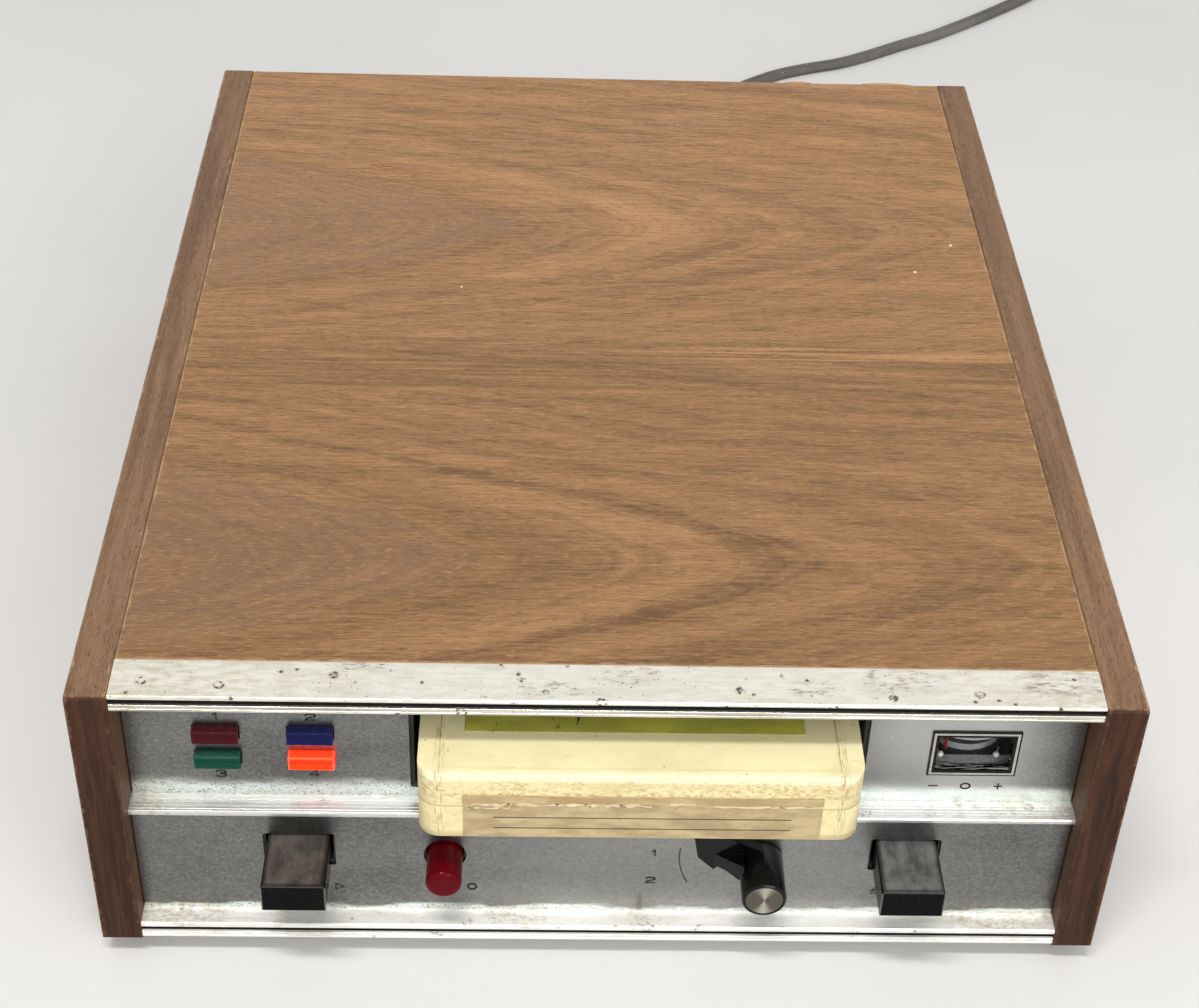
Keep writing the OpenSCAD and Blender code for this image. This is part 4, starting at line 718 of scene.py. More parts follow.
def paper(name, colour, stain, dark, scrawl=0.0):
    """Aged paper with foxing, rubbed fibres and, on the top label, black scuffs."""
    s = Surface(name, colour, 0.72)
    cloud = s.noise((14, 7, 5), 6.0, 5.0, 0.62)
    tone = s.mix(s.step(cloud, 0.38, 0.62), colour, stain)
    spots = s.step(s.noise((1.8, 1.8, 1.2), 3.0, 4.0, 0.65), 0.6, 0.74)
    tone = s.mix(spots * 0.35, tone, dark)
    if scrawl:
        strokes = s.step(s.noise((1.6, 7, 5), 12.0, 3.0, 0.6, 1.4), 0.63, 0.67)
        here = s.step(s.noise((20, 30, 5), 16.0, 2.0), 0.45, 0.6)
        tone = s.mix(strokes * here * scrawl, tone, (0.03, 0.03, 0.01))
    s.set("Base Color", tone)
    s.bump(s.noise(0.35, 2.0, 4.0, 0.7), 0.03)
    return s


def spun_disc(centre):
    """The knob's inlay: circles turned in the metal, which draw a light out into two opposite fans; the fans are
    painted into its colour too, as a painted highlight.
    """
    dull, bright = (0.11, 0.1, 0.08), (0.42, 0.395, 0.33)
    s = Surface("inlay_aluminium", (0.26, 0.24, 0.2), 0.42, 1.0, Anisotropic=0.95, Anisotropic_Rotation=0.25)
    across = s.axis(0) - centre.x / MM
    up = s.axis(2) - centre.z / MM
    radius = s.math("SQRT", across * across + up * up)
    looks = {"W": radius * 5.0, "Scale": 1.0, "Detail": 2.0}
    circles = s.field("ShaderNodeTexNoise", looks, noise_dimensions="1D")
    # Painted highlight: brighter fans above and below the middle.
    painted_fan_highlight = s.fade(abs(across) / s.larger(radius, 0.1), 0.15, 0.75)
    tone = painted_fan_highlight * 0.75 + s.step(circles, 0.35, 0.65, 0.0, 0.25)
    s.set("Base Color", s.mix(tone, dull, bright))
    s.set("Roughness", s.step(circles, 0.3, 0.7, 0.38, 0.46))
    s.set("Tangent", s.add("ShaderNodeTangent", direction_type="RADIAL", axis="Y").outputs[0])
    s.bump(circles, 0.01)
    return s


def dial_paint():
    """The meter's drum: a silver scale band round a black drum."""
    black, dull, bright = (0.02, 0.02, 0.023), (0.3, 0.3, 0.31), (0.46, 0.46, 0.46)
    s = Surface("meter_silver", (0.5, 0.5, 0.5), 0.35)
    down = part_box("meter_dial")[1].z / MM - s.axis(2)
    skin = s.noise(0.5, 2.0)
    band = s.step(down, 6.4, 6.55) - s.step(down, 8.25, 8.4)
    s.set("Base Color", s.mix(band, black, s.mix(s.step(skin, 0.3, 0.7), dull, bright)))
    s.bump(skin, 0.01)
    return s


def meter_body():
    """The meter's black moulding, with painted light: the front of its bowed shelf is painted grey, and a painted
    highlight runs along its hoop.
    """
    black, grey, painted_shine = (0.014, 0.014, 0.015), (0.42, 0.42, 0.43), (0.42, 0.42, 0.4)
    s = Surface("meter_housing_black", black, 0.35, Specular_IOR_Level=0.3)
    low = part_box("meter_housing")[0]
    height = s.axis(2) - low.z / MM
    # Painted light: the shelf's front, where light falls, is painted grey.
    front = s.fade(s.axis(1), low.y / MM + 3.0, low.y / MM + 6.0)
    shelf = (s.step(height, 0.85, 0.95) - s.step(height, 3.0, 3.1)) * front
    # Painted highlight: a band of painted_shine grey along the hoop, which is black moulding.
    hoop = s.step(height, 10.3, 10.38) - s.step(height, 11.02, 11.1)
    skin = s.noise(0.8, 2.0, 3.0)
    colour = s.mix(shelf * s.step(skin, 0.3, 0.7, 0.7, 1.0), black, grey)
    s.set("Base Color", s.mix(hoop, colour, painted_shine))
    s.bump(skin, 0.01)
    return s


def bezel_black():
    """The meter's bezel: gloss black, with bright flecks of painted reflection on the lower reveal."""
    black, metal = (0.004, 0.004, 0.0045), (0.75, 0.74, 0.7)
    s = Surface("meter_black", black, 0.16, Specular_IOR_Level=0.16)
    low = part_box("meter_bezel")[0]
    # Painted reflection: bright flecks on the lower inner reveal, in the colour named metal.
    inner = s.step(s.axis(1), low.y / MM + 0.35, low.y / MM + 0.5)
    bottom = s.fade(s.axis(2), low.z / MM + 2.2, low.z / MM + 2.6)
    flecks = s.step(s.noise((4, 0.5, 0.5), 4.0, 3.0, 0.6), 0.5, 0.6, 0.0, 0.6)
    painted_shine = inner * bottom * flecks
    s.set("Base Color", s.mix(painted_shine, black, metal))
    s.bump(s.noise(0.5, 7.0), 0.006)
    return s


def lead_vinyl():
    """Aged grey-brown vinyl of the mains lead, with dusty patches."""
    dark, light, pale = (0.075, 0.068, 0.058), (0.15, 0.138, 0.12), (0.34, 0.32, 0.29)
    s = Surface("cord_vinyl", (0.12, 0.108, 0.092), 0.42)
    cloud = s.noise(25, 4.0, 4.0, 0.6)
    dust = s.noise(2, 6.0, 5.0, 0.7)
    colour = s.mix(s.step(cloud, 0.3, 0.7), dark, light)
    s.set("Base Color", s.mix(s.step(dust, 0.55, 0.75, 0.0, 0.5), colour, pale))
    s.set("Roughness", s.step(dust, 0.3, 0.7, 0.36, 0.6))
    s.bump(s.noise(0.8, 3.0), 0.02)
    return s


# The nodes that share each plain finish, and what plain() takes for it
PLAIN = (
    ("top_cleats", "softwood", (0.6, 0.44, 0.27), 0.7, 0.0, 0.2, 10),
    ("bottom_cover rear_panel", "black_steel", (0.028, 0.028, 0.03), 0.42, 0.0, 0.25, 18, 0.5, 0.02),
    ("rubber_feet cartridge_roller drive_belt", "foot_rubber", (0.03, 0.03, 0.03), 0.75, 0.0, 0.3, 4),
    ("lamp_housing", "white_plastic", (0.75, 0.73, 0.68), 0.5),
    ("meter_needle", "needle_red", (0.34, 0.012, 0.02), 0.4),
    ("button_guides dust_flap", "grey_plastic", (0.05, 0.05, 0.05), 0.5),
    ("function_switch", "switch_board", (0.35, 0.22, 0.1), 0.5),
    ("slot_guide", "guide_black", (0.018, 0.017, 0.016), 0.55),
    ("tape_reel", "tape_brown", (0.07, 0.04, 0.025), 0.3),
    ("chassis roller_arm", "deck_steel", (0.6, 0.56, 0.42), 0.35, 0.9, 0.15, 14),
    ("motor", "motor_steel", (0.4, 0.41, 0.42), 0.35, 0.7),
    ("program_cam latch_roller", "cam_nylon", (0.78, 0.75, 0.66), 0.45),
    ("solenoid", "coil_orange", (0.5, 0.24, 0.08), 0.5),
    ("transformer", "core_iron", (0.1, 0.1, 0.11), 0.55, 0.3),
    ("circuit_board", "circuit_brown", (0.33, 0.23, 0.1), 0.5),
    ("strain_relief", "relief_vinyl", (0.035, 0.033, 0.03), 0.5, 0.0, 0.3, 5),
    ("cord_plug", "plug_vinyl", (0.05, 0.045, 0.038), 0.4),
)
# The nodes that share each machined finish, and what turned_metal() takes for it
TURNED = (
    ("case_screws", "screw_steel", (0.6, 0.58, 0.52)),
    ("deck_posts flywheel solenoid_plunger arm_spring", "turned_steel", (0.62, 0.62, 0.6)),
    ("capstan_bearing motor_pulley", "bronze", (0.55, 0.36, 0.16), 0.35),
    ("tape_head", "head_metal", (0.7, 0.7, 0.68), 0.15),
    ("phono_jacks", "jack_metal", (0.72, 0.7, 0.64), 0.24, (0.3, 3, 0.3)),
)
# Each lens's colour, its paler worn colour and its glow
LENSES = (
    ("red", (0.068, 0.003, 0.006), (0.16, 0.045, 0.05), 0.0),
    ("blue", (0.006, 0.009, 0.08), (0.045, 0.05, 0.14), 0.0),
    ("green", (0.003, 0.058, 0.033), (0.045, 0.13, 0.1), 0.0),
    ("orange", (0.8, 0.016, 0.002), (1.0, 0.07, 0.035), 2.9),
)
BUTTON_BLACK = (0.003, 0.003, 0.0035)


def make_finishes():
    """The finish of each CAD node, by node."""
    shell = cream_shell()
    inlay_low, inlay_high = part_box("knob_inlay")
    finishes = {
        "top_panel": veneer(),
        "top_trim": aged_trim("bright_trim_top", TRIM_STAINS, dark_below=panel_high.z / MM - 3.0),
        "bottom_trim": aged_trim("bright_trim_bottom", (), BOTTOM_RUST, 0.25, 0.6, SILL_CLEAN, 0.7),
        "mid_ledge": aged_trim("bright_trim_ledge", (), LEDGE_RUST, 0.6, 0.35, LEDGE_CLEAN, 0.4),
        "groove_strips": plain("black_filler", (0.006, 0.0055, 0.005), 0.6, Specular_IOR_Level=0.08),
        "faceplate_upper": brushed_plate("brushed_plate_upper", "faceplate_upper", 5, (80, 30, 0.75)),
        "faceplate_lower": brushed_plate("brushed_plate_lower", "faceplate_lower", 1.6, (25, 80, 0.25),
                                         ((9.3, 14, 11),)),
        "lamp_bulbs": plain("bulb_glass", (0.9, 0.86, 0.75), 0.1, Transmission_Weight=0.9, IOR=1.45),
        "meter_bezel": bezel_black(),
        "meter_window": plain("meter_glass", (0.95, 0.96, 0.96), 0.05, 0.0, 0.02, 5, 0.6, 0.001,
                              Transmission_Weight=1.0, IOR=1.1),
        "meter_dial": dial_paint(),
        "meter_housing": meter_body(),
        "program_button": worn_plastic("button_black_left", BUTTON_BLACK, "program_button",
                                       scuff=(0.3, 0.255, 0.225), rubbed=0.42, sheen_film=0.34),
        "eject_button": worn_plastic("button_black_right", BUTTON_BLACK, "eject_button",
                                     scuff=(0.27, 0.265, 0.255), rubbed=0.3, sheen_film=0.55),
        "record_button": worn_plastic("record_red", (0.1, 0.001, 0.004), "record_button", 0.08, (0.2, 0.03, 0.04),
                                      rubbed=0.1, gloss=0.08),
        "function_knob": worn_plastic("knob_black", (0.003, 0.003, 0.003), "function_knob", 0.16, rubbed=0.1,
                                      gloss=0.2),
        "knob_inlay": spun_disc((inlay_low + inlay_high) / 2),
        "cartridge_top": shell,
        "cartridge_bottom": shell,
        "cartridge_labels": paper("label_paper", (0.53, 0.41, 0.225), (0.37, 0.27, 0.14), (0.2, 0.12, 0.05)),
    }
    for side in ("left", "right"):
        finishes["side_board_" + side] = board_wood("walnut_side_" + side, "side_board_" + side)
    for i, (name, colour, pale, glow) in enumerate(LENSES, 1):
        finishes[f"lamp_lens_{i}"] = lens_plastic("lens_" + name, colour, pale, f"lamp_lens_{i}", glow)
    for make, rows in ((plain, PLAIN), (turned_metal, TURNED)):
        for names, *values in rows:
            finishes.update(dict.fromkeys(names.split(), make(*values)))
    return finishes


def dress_nodes(finishes):
    for name, finish in finishes.items():
        slots = nodes[name].data.materials
        slots.clear()
        slots.append(finish.material)


# Width of the rounded edges, in millimetres, of the nodes that show
EDGES = {
    0.08: "meter_bezel",
    0.1: "rear_panel chassis",
    0.12: "top_trim bottom_trim mid_ledge",
    0.15: "faceplate_upper faceplate_lower bottom_cover",
    0.2: "lamp_lens_1 lamp_lens_2 lamp_lens_3 lamp_lens_4 slot_guide dust_flap",
    0.3: "top_panel function_knob rubber_feet",
    0.4: "cord_plug",
    0.45: "program_button eject_button",
    0.6: "cartridge_top cartridge_bottom",
    0.7: "side_board_left side_board_right",
}
# What each modifier of a rounded node is set to: seams welded, flat faces made one, and edges past 32 degrees
ROUNDING = (
    ("WELD", {"merge_threshold": 0.002 * MM}),
    ("DECIMATE", {"decimate_type": "DISSOLVE", "angle_limit": math.radians(0.5)}),
    ("BEVEL", {"segments": 3, "limit_method": "ANGLE", "angle_limit": math.radians(32), "harden_normals": True,
               "use_clamp_overlap": True}),
)


def round_edges():
    for width, names in EDGES.items():
        for name in names.split():
            for kind, settings in ROUNDING:
                modifier = nodes[name].modifiers.new(kind.lower(), kind)
                for key, value in settings.items():
                    setattr(modifier, key, value)
            modifier.width = width * MM


# ---- mains lead ----

# The route's points as the part's source has them, in its own frame and in millimetres
ROUTE = (
    (30, 175.5, 25), (30, 181, 25), (30, 187, 25), (30, 195, 23.4), (30, 204, 19.6), (30, 213, 14.2),
    (30.5, 222, 9), (31, 232, 5), (32, 243, 2.6), (34, 255, 1.6), (37, 267, 1.6), (41, 279, 1.6),
    (46.5, 290, 1.6), (54, 301, 1.6), (62, 309.5, 1.6), (71, 317, 1.6), (80, 323, 1.6), (92, 328.5, 1.6),
    (105, 333.5, 1.6), (118, 341, 1.6), (132, 350.5, 1.6), (147, 360, 1.6), (158, 368.5, 1.6),
    (169, 377.5, 1.6), (180, 387, 1.6), (191, 397, 1.6), (202, 408.5, 1.6), (211, 421, 1.6), (217, 434, 1.6),
    (219.4, 445, 1.6), (220, 454, 1.6), (220, 459, 1.6), (220, 464, 1.6),
)
LEAD_W = 5.8
LEAD_T = 3.0
COIL_LOOPS = 7
COIL_PITCH = 6.4
COIL_INNER_R = 22
LAYER_RISE = LEAD_T + 0.6
TAIL = 28
COIL_OUTER_R = COIL_INNER_R + COIL_PITCH * COIL_LOOPS / 2
COIL_START = Vector(ROUTE[-1]) * MM
COIL_CENTRE = Vector((COIL_START.x - COIL_OUTER_R * MM, COIL_START.y + LEAD_W * MM, 0))
TURN_STEPS = 48  # points on one loop of the coil


def route_curve():
    """The free stretch as a smooth curve through the route's points."""
    p = [Vector(q) * MM for q in ROUTE]
    steps, last = 6, len(p) - 1
    line = []
    for i in range(last):
        a, b, c, d = p[max(i - 1, 0)], p[i], p[i + 1], p[min(i + 2, last)]
        for k in range(steps):
            t = k / steps
            cubic = (3 * b - a - 3 * c + d) * t**3
            line.append(0.5 * (2 * b + (c - a) * t + (2 * a - 5 * b + 4 * c - d) * t * t + cubic))
    return line + [p[-1]]


def coil_curve():
    """The stored length: it spirals in on the lower layer, climbs at the middle and spirals out on top."""
    line = []
    for k in range(COIL_LOOPS * TURN_STEPS + 1):
        t = k / TURN_STEPS
        s = t - COIL_LOOPS / 2
        r = (COIL_INNER_R + COIL_PITCH * abs(s)) * MM
        u = min(max(2 * s + 0.5, 0), 1)
        z = COIL_START.z + LAYER_RISE * u * u * (3 - 2 * u) * MM
        line.append(COIL_CENTRE + Vector((r * math.cos(math.tau * t), r * math.sin(math.tau * t), z)))
    top = COIL_START.z + LAYER_RISE * MM
    return line + [COIL_CENTRE + Vector((COIL_OUTER_R * MM, y * MM, top)) for y in (TAIL / 2, TAIL)]


def flat_lead_ring(sides=20):
    """Section of the flat two-core lead: two round cores side by side with a groove between them."""
    core = LEAD_T / 2 * MM
    off = (LEAD_W / 2) * MM - core
    section = []
    for k in range(sides):
        a = math.tau * k / sides
        r = off * abs(math.cos(a)) + math.sqrt(core**2 - (off * math.sin(a)) ** 2)
        section.append((r * math.cos(a), r * math.sin(a)))

    def ring(way, _):
        side = way.cross(Vector((0, 0, 1))).normalized()
        up = side.cross(way)
        return [side * a + up * b for a, b in section]

    return ring


def make_lead():
    line = route_curve() + coil_curve()
    piece = add_mesh("mains_lead", *sweep(line, flat_lead_ring()), lead_vinyl().material, True)
    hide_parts("power_cord", "cord_coil")
    tie = make_tie()
    length = sum((b - a).length for a, b in zip(line, line[1:]))
    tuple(line[0])


TIE_BEARING = math.radians(200)  # from the coil's middle
TIE_W = 2.6 * MM
TIE_T = 0.22 * MM
TWISTS = 13  # points along the twisted ends, each 0.9 mm and 0.9 radians on


def make_tie():
    """A paper-covered wire tie round the coil, its ends twisted together on top."""
    way = Vector((math.cos(TIE_BEARING), math.sin(TIE_BEARING), 0))
    across = Vector((-way.y, way.x, 0))
    low, high = (COIL_INNER_R - 3.4) * MM, (COIL_OUTER_R + 3.4) * MM
    top = (LEAD_T * 2 + 1.1) * MM
    corner, sides = 1.4 * MM, 6
    near, far, under, over = low + corner, high - corner, corner + 0.25 * MM, top - corner
    loop = []
    for cx, cz, begin in ((far, over, 0), (near, over, 90), (near, under, 180), (far, under, 270)):
        for k in range(sides + 1):
            a = math.radians(begin + 90 * k / sides)
            out, up = cx + corner * math.cos(a), cz + corner * math.sin(a)
            loop.append(COIL_CENTRE + way * out + Vector((0, 0, up)))
    half = across * TIE_W / 2
    over_middle = COIL_CENTRE + way * (low + high) / 2
    middle = over_middle + Vector((0, 0, top / 2))
    points, faces = [], []
    for p in loop:
        out = (p - middle).normalized() * TIE_T
        points += [p - half, p + half, p + half + out, p - half + out]
    n = len(loop)
    for i in range(n):
        for k in range(4):
            faces.append([i * 4 + k, i * 4 + (k + 1) % 4, (i + 1) % n * 4 + (k + 1) % 4, (i + 1) % n * 4 + k])
    knot = over_middle + Vector((0, 0, top + 0.5 * MM))
    twist = []
    for k in range(TWISTS):
        rise = 0.35 * MM * math.sin(k / 9 * math.pi)
        twist.append(knot + across * (k * 0.9 * MM) + Vector((0, 0, rise)))

    def ring(_, i):
        a = i * 0.9
        wide = Vector((way.x * math.cos(a), way.y * math.cos(a), math.sin(a)))
        flat = across.cross(wide) * 0.3 * MM
        wide = wide * 0.8 * MM
        return [wide + flat, flat - wide, -wide - flat, wide - flat]

    paper_white = plain("tie_paper", (0.7, 0.68, 0.62), 0.6)
    return add_mesh("lead_tie", *joined((points, faces), sweep(twist, ring)), paper_white.material)


# ---- floor and light ----

FLOOR = (0.72, 0.715, 0.705)
FLOOR_HALF = 6
SKY = 0.6
SKY_SEEN = 0.95


def make_stage():
    s = Surface("floor", FLOOR, 0.85)
    cloud = s.noise(160, 2.0, 4.0)
    s.set("Base Color", s.mix(s.step(cloud, 0.3, 0.7), shade(FLOOR, 0.97), shade(FLOOR, 1.02)))
    corner = Vector((FLOOR_HALF, FLOOR_HALF, 0))
    floor = add_mesh("floor", rectangle(-corner, corner), [[0, 1, 2, 3]], s.material, body=None)


def make_world():
    """A soft sky, brighter where it is seen directly, in a reflection or through glass."""
    world = bpy.data.worlds.new("studio")
    bpy.context.scene.world = world
    world.use_nodes = True
    tree = world.node_tree
    rays = tree.nodes.new("ShaderNodeLightPath").outputs
    seen = rays["Is Camera Ray"]
    for kind in ("Is Glossy Ray", "Is Transmission Ray"):
        either = tree.nodes.new("ShaderNodeMath")
        either.operation = "MAXIMUM"
        tree.links.new(seen, either.inputs[0])
        tree.links.new(rays[kind], either.inputs[1])
        seen = either.outputs[0]
    strength = tree.nodes.new("ShaderNodeMapRange")
    tree.links.new(seen, strength.inputs["Value"])
    strength.inputs["To Min"].default_value = SKY
    strength.inputs["To Max"].default_value = SKY_SEEN
    background = tree.nodes["Background"]
    tree.links.new(strength.outputs[0], background.inputs["Strength"])
    background.inputs["Color"].default_value = (1.0, 0.995, 0.985, 1)


def area_light(name, spot, aim, size, power, colour=(1, 1, 1)):
    data = bpy.data.lights.new(name, "AREA")
    data.shape = "RECTANGLE"
    data.size, data.size_y = size
    data.energy = power
    data.color = colour
    lamp = bpy.data.objects.new(name, data)
    bpy.context.scene.collection.objects.link(lamp)
    lamp.location = spot
    lamp.rotation_euler = (Vector(aim) - Vector(spot)).to_track_quat("-Z", "Y").to_euler()


def make_lights():
    area_light("key", (-0.12, -0.6, 1.25), (0, -0.02, 0.04), (0.5, 0.08), 9.8, (1.0, 0.985, 0.96))
    area_light("fill", (0.5, -1.2, 0.8), (0, -0.1, 0.04), (0.9, 0.5), 8.0, (0.98, 0.99, 1.0))


# ---- printed marks and small pieces ----

INK_T = 0.06 * MM


def ink():
    """Black print, rubbed grey in places."""
    black, grey = (0.02, 0.02, 0.022), (0.12, 0.12, 0.12)
    s = Surface("printed_ink", black, 0.5)
    rub = s.noise(0.5, 3.0, 4.0, 0.7)
    s.set("Base Color", s.mix(s.step(rub, 0.5, 0.75, 0.0, 0.5), black, grey))
    s.bump(rub, 0.01)
    return s.material


# Strokes of the plain numbers and signs, on a grid one unit wide and one high
SIGNS = {
    "0": [[(0.5 + 0.5 * math.cos(math.tau * k / 16), 0.5 + 0.5 * math.sin(math.tau * k / 16)) for k in range(17)]],
    "1": [[(0.18, 0.72), (0.5, 1.0), (0.5, 0.0)]],
    "2": [[(0.0, 0.74), (0.1, 0.92), (0.35, 1.0), (0.65, 1.0), (0.9, 0.92), (1.0, 0.76), (0.92, 0.6), (0.5, 0.42),
           (0.1, 0.22), (0.0, 0.0), (1.0, 0.0)]],
    "3": [[(0.0, 0.8), (0.15, 0.95), (0.4, 1.0), (0.7, 1.0), (0.92, 0.9), (0.95, 0.7), (0.8, 0.55), (0.45, 0.52),
           (0.82, 0.48), (1.0, 0.32), (0.96, 0.12), (0.75, 0.0), (0.35, 0.0), (0.1, 0.05), (0.0, 0.2)]],
    "4": [[(0.74, 0.0), (0.74, 1.0), (0.0, 0.3), (1.0, 0.3)]],
    "plus": [[(0.5, 0.0), (0.5, 1.0)], [(0.0, 0.5), (1.0, 0.5)]],
    "minus": [[(0.0, 0.5), (1.0, 0.5)]],
    "next": [[(0.0, 0.0), (1.0, 0.5), (0.0, 1.0), (0.0, 0.0)]],
    "back": [[(1.0, 0.0), (0.0, 0.5), (1.0, 1.0), (1.0, 0.0)]],
    "open": [[(0.0, 0.4), (1.0, 0.4), (0.5, 1.0), (0.0, 0.4)], [(0.0, 0.0), (1.0, 0.0)]],
}
# Each sign's name, its middle, sideways and in height, its width and its height
UPPER_SIGNS = (("1", -89.7, 67.4, 2.3, 1.9), ("2", -68.2, 67.4, 2.3, 1.9), ("3", -89.9, 48.8, 2.3, 1.9),
               ("4", -68.2, 49.1, 2.3, 1.9), ("minus", 77.5, 47.3, 2, 1.8), ("0", 85.2, 47.3, 2.2, 1.7),
               ("plus", 93, 47.3, 1.8, 1.8))
LOWER_SIGNS = (("back", -81.5, 14.6, 1.9, 2), ("next", -63.5, 14.6, 1.9, 2), ("0", -31.5, 15, 2, 2),
               ("1", 12.4, 27.5, 2, 1.9), ("2", 11.7, 17.9, 2.2, 1.9), ("open", 67, 15, 2.3, 2.2))
SIGN_LINE = 0.42
# The knob's travel as an arc round its shaft: its radius and its two ends in degrees
TRAVEL_ARC = (19.5, 172, 208)


def stroke(points, wide, spot, thick, face_depth):
    """A flat printed line through (across, up) points in millimetres, raised from the plate by thick."""
    half = wide / 2
    parts = []
    for a, b in zip(points, points[1:]):
        a, b = Vector((a[0], 0, a[1])), Vector((b[0], 0, b[1]))
        way = (b - a).normalized()
        side = Vector((-way.z, 0, way.x)) * half
        a, b = a - way * half * 0.6, b + way * half * 0.6
        outline = [place(spot[0], face_depth, spot[1]) + q * MM for q in (a - side, b - side, b + side, a + side)]
        parts.append(slab(outline, Vector((0, 0.02 * MM, 0)), Vector((0, -thick, 0))))
    return joined(*parts)


def node_depth(node):
    """Depth of a node's front behind the boards' front, in millimetres."""
    return (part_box(node)[0].y - FRONT_Y) / MM


def make_signs(name, signs, plate, material, *more):
    depth = node_depth(plate)
    parts = list(more)
    for sign, x, h, wide, high in signs:
        for line in SIGNS[sign]:
            points = [((u - 0.5) * wide, (v - 0.5) * high) for u, v in line]
            parts.append(stroke(points, SIGN_LINE, (x, h), INK_T, depth))
    piece = add_mesh(name, *joined(*parts), material)


def make_marks():
    """Plain numbers and signs, in place of the words, on the two faceplates."""
    material = ink()
    make_signs("upper_signs", UPPER_SIGNS, "faceplate_upper", material)
    knob_low, knob_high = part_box("knob_inlay")
    middle = (knob_low + knob_high) / 2
    spot = (middle.x / MM, (middle.z - BASE_Z) / MM)
    radius, start, end = TRAVEL_ARC
    angles = [math.radians(start + (end - start) * k / 10) for k in range(11)]
    arc = [(radius * math.cos(a), radius * math.sin(a)) for a in angles]
    line = stroke(arc, 0.3, spot, INK_T, node_depth("faceplate_lower"))
    make_signs("lower_signs", LOWER_SIGNS, "faceplate_lower", material, line)


def make_meter_rim():
    """The bezel's silver inner border, between the black outline and the window."""
    low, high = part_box("meter_bezel")
    y = low.y - 0.05 * MM
    outer, inner = 0.42 * MM, 1.0 * MM
    left, right, foot, top = low.x + outer, high.x - outer, low.z + inner, high.z - inner
    parts = []
    for x0, z0, x1, z1 in ((left, low.z + outer, right, foot), (left, top, right, high.z - outer),
                           (left, foot, low.x + inner, top), (high.x - inner, foot, right, top)):
        outline = rectangle(Vector((x0, y, z0)), Vector((x1, y, z1)))
        parts.append(slab(outline, Vector((0, 0.08 * MM, 0)), Vector((0, 0, 0))))
    piece = add_mesh("meter_rim", *joined(*parts), plain("rim_silver", (0.5, 0.49, 0.46), 0.3, 1.0).material)


# Radius and distance from the front, in millimetres: a rounded head on a thin stem
PEG_PROFILE = ((0.2, 0), (0.6, 0.12), (0.78, 0.5), (0.7, 0.95), (0.22, 1.2), (0.22, 3.4))


def make_meter_pegs():
    """Two small white pegs that close the meter's scale, one at each side."""
    white = plain("peg_white", (0.8, 0.79, 0.74), 0.4)
    profile = [(r * MM, along * MM) for r, along in PEG_PROFILE]
    parts = [lathe(profile, place(x, 12.9, 54.6), (lean, 1, 0), 20) for x, lean in ((79.0, -0.4), (91.8, 0.4))]
    piece = add_mesh("meter_pegs", *joined(*parts), white.material, True)


def make_splinters():
    """Two chips of veneer lifted at the panel's rear edge."""
    rng = random.Random(7)
    wood = plain("splinter_wood", (0.46, 0.25, 0.12), 0.6, 0.0, 0.2, 3)
    top = panel_high.z
    parts = []
    for x0, x1, lift in ((61, 70, 0.26), (86, 103, 0.36)):
        count = 14
        line, back = [], []
        for k in range(count + 1):
            t = k / count
            x = (x0 + (x1 - x0) * t) * MM
            rise = math.sin(math.pi * t) ** 0.7
            line.append(Vector((x, panel_high.y - 1.6 * MM * (1 - t) - 0.2 * MM, top - 0.25 * MM)))
            y = panel_high.y + (0.7 * rise + 0.2 * rng.random()) * MM
            back.append(Vector((x, min(y, cad_high.y), top - (0.6 - lift * rise) * MM)))
        parts.append(slab(line + back[::-1], Vector((0, 0, 0)), Vector((0, 0, 0.22 * MM))))
    piece = add_mesh("veneer_splinters", *joined(*parts), wood.material)


def torn_strip(x0, x1, low, high, depth, jag, seed, thick=0.07):
    """A thin strip of paper with a torn upper and lower edge, on the cartridge's front."""
    rng = random.Random(seed)
    count = max(8, int((x1 - x0) / 1.1))
    lower, upper = [], []
    for k in range(count + 1):
        x = x0 + (x1 - x0) * k / count
        lower.append(place(x, depth, low + jag * rng.random()))
        upper.append(place(x, depth, high - jag * rng.random()))
    points, faces = [], []
    for back in (0, 1):
        shift = Vector((0, -thick * MM * back, 0))
        points += [p + shift for p in lower] + [p + shift for p in upper]
    n = count + 1
    for k in range(count):
        faces.append([2 * n + k, 2 * n + k + 1, 3 * n + k + 1, 3 * n + k])
        faces.append([k, n + k, n + k + 1, k + 1])
        faces.append([k, k + 1, 2 * n + k + 1, 2 * n + k])
        faces.append([n + k, 3 * n + k, 3 * n + k + 1, n + k + 1])
    faces.append([0, 2 * n, 3 * n, n])
    faces.append([count, n + count, 3 * n + count, 2 * n + count])
    return points, faces


SPINE_X = (-33, 49.2)
SPINE_H = (46.1, 59.3)


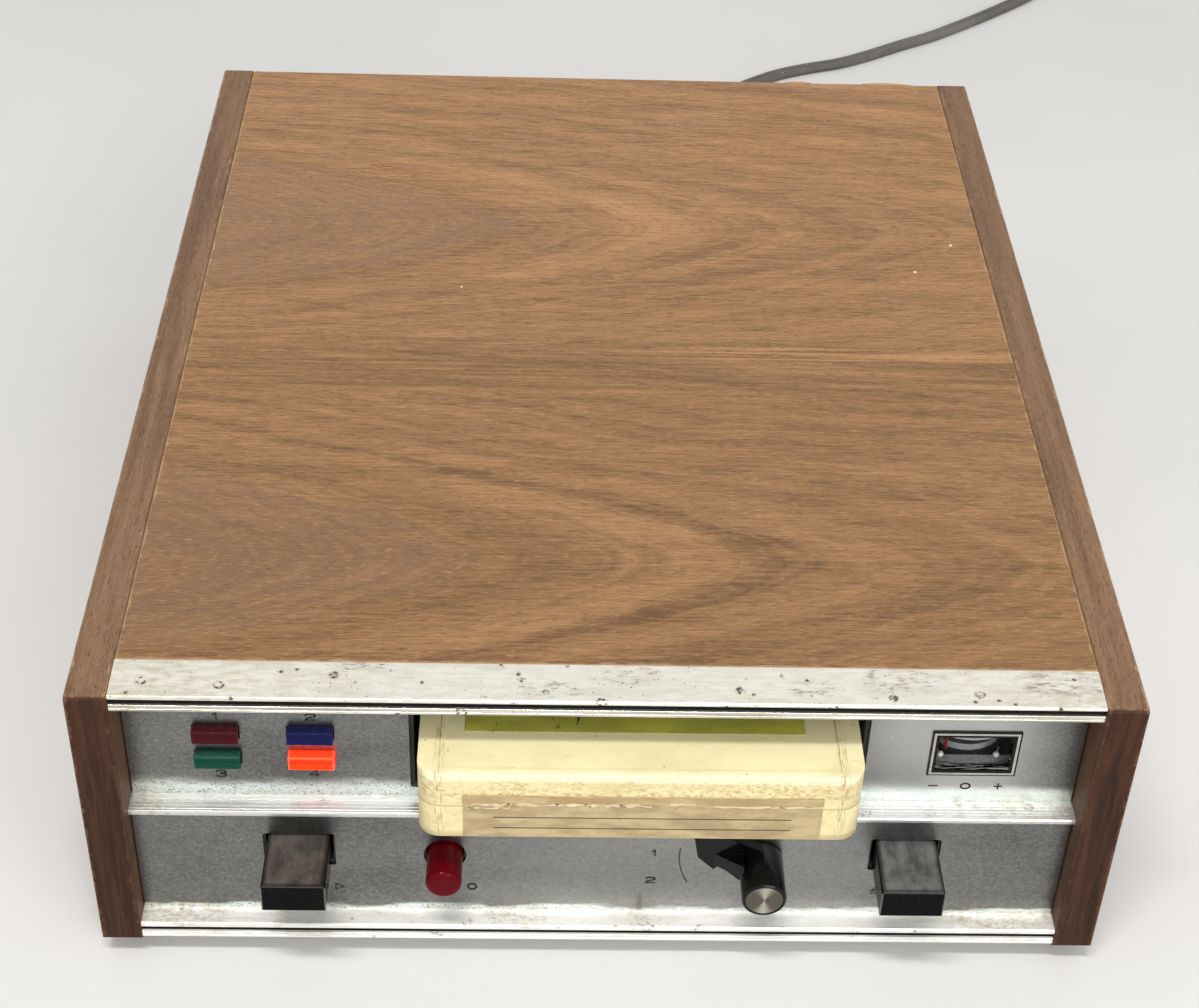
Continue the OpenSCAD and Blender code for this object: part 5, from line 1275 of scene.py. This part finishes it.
def make_label_layers():
    """The spine label's torn layers, and the two ruled lines of a blank label."""
    label_depth = node_depth("cartridge_labels")
    under = paper("label_underlayer", (0.4, 0.28, 0.13), (0.54, 0.42, 0.22), (0.15, 0.08, 0.03))
    pale = paper("label_torn", (0.74, 0.62, 0.4), (0.62, 0.48, 0.28), (0.3, 0.2, 0.1))
    band = torn_strip(SPINE_X[0], SPINE_X[1], 56.6, SPINE_H[1], label_depth + 0.01, 0.5, 3)
    patch = torn_strip(12, 26, 55.2, 58.0, label_depth, 1.3, 5, 0.1)
    piece = add_mesh("label_underlayer", *joined(band, patch), under.material, body="cartridge")
    shreds = [torn_strip(a, b, low, high, label_depth - 0.05, jag, seed, 0.16) for a, b, low, high, jag, seed in (
        (-31, 10, 55.9, 57.2, 0.9, 11), (24, 49, 56.1, 56.9, 0.5, 12), (13, 20, 56.6, 57.6, 0.6, 13),
        (-32, -22, 54.9, 56.0, 0.8, 14))]
    piece = add_mesh("label_torn_edge", *joined(*shreds), pale.material, body="cartridge")
    brown = plain("label_ink", (0.09, 0.055, 0.03), 0.6)
    lines = [stroke([(-34, 0), (34, 0)], 0.28, (8.1, h), 0.03 * MM, label_depth - 0.005) for h in (48.9, 52.3)]
    piece = add_mesh("label_rules", *joined(*lines), brown.material, body="cartridge")


def make_top_label():
    """The cartridge's green label on its top face."""
    green = paper("label_green", (0.52, 0.5, 0.07), (0.4, 0.38, 0.055), (0.08, 0.08, 0.01), 0.9)
    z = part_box("cartridge_labels")[1].z
    low, high = place(-32.8, 8.2, 0), place(45.6, 95, 0)
    low.z = high.z = z
    sheet = slab(rectangle(low, high), Vector((0, 0, 0.01 * MM)), Vector((0, 0, 0.08 * MM)))
    piece = add_mesh("label_green", *sheet, green.material, body="cartridge")


# Radius and distance from the sockets' rear, in millimetres: a dished disc
JACK_PROFILE = ((3.25, -8), (3.15, -2.4), (2.0, -2.0), (1.75, -2.0), (1.75, -8))
# Each colour and its sockets' places sideways
JACKS = (("white", (0.75, 0.74, 0.7), (-88, -46)), ("red", (0.5, 0.03, 0.03), (-70, -28)))
JACK_H = 34


def make_jack_centres():
    """Insulating discs in the sockets: white and red, as the left and right channels have."""
    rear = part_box("phono_jacks")[1].y
    profile = [(r * MM, along * MM) for r, along in JACK_PROFILE]
    for name, colour, places in JACKS:
        material = plain("jack_" + name, colour, 0.4).material
        parts = [lathe(profile, Vector((x * MM, rear, BASE_Z + JACK_H * MM)), (0, 1, 0), 24) for x in places]
        piece = add_mesh("jack_centres_" + name, *joined(*parts), material, True)


# ---- the scene ----


def main():
    make_camera()
    dress_nodes(make_finishes())
    make_lead()
    round_edges()
    make_stage()
    make_world()
    make_lights()
    make_marks()
    make_meter_rim()
    make_meter_pegs()
    make_splinters()
    make_label_layers()
    make_top_label()
    make_jack_centres()
    bpy.context.scene.view_settings.view_transform = "Standard"


main()
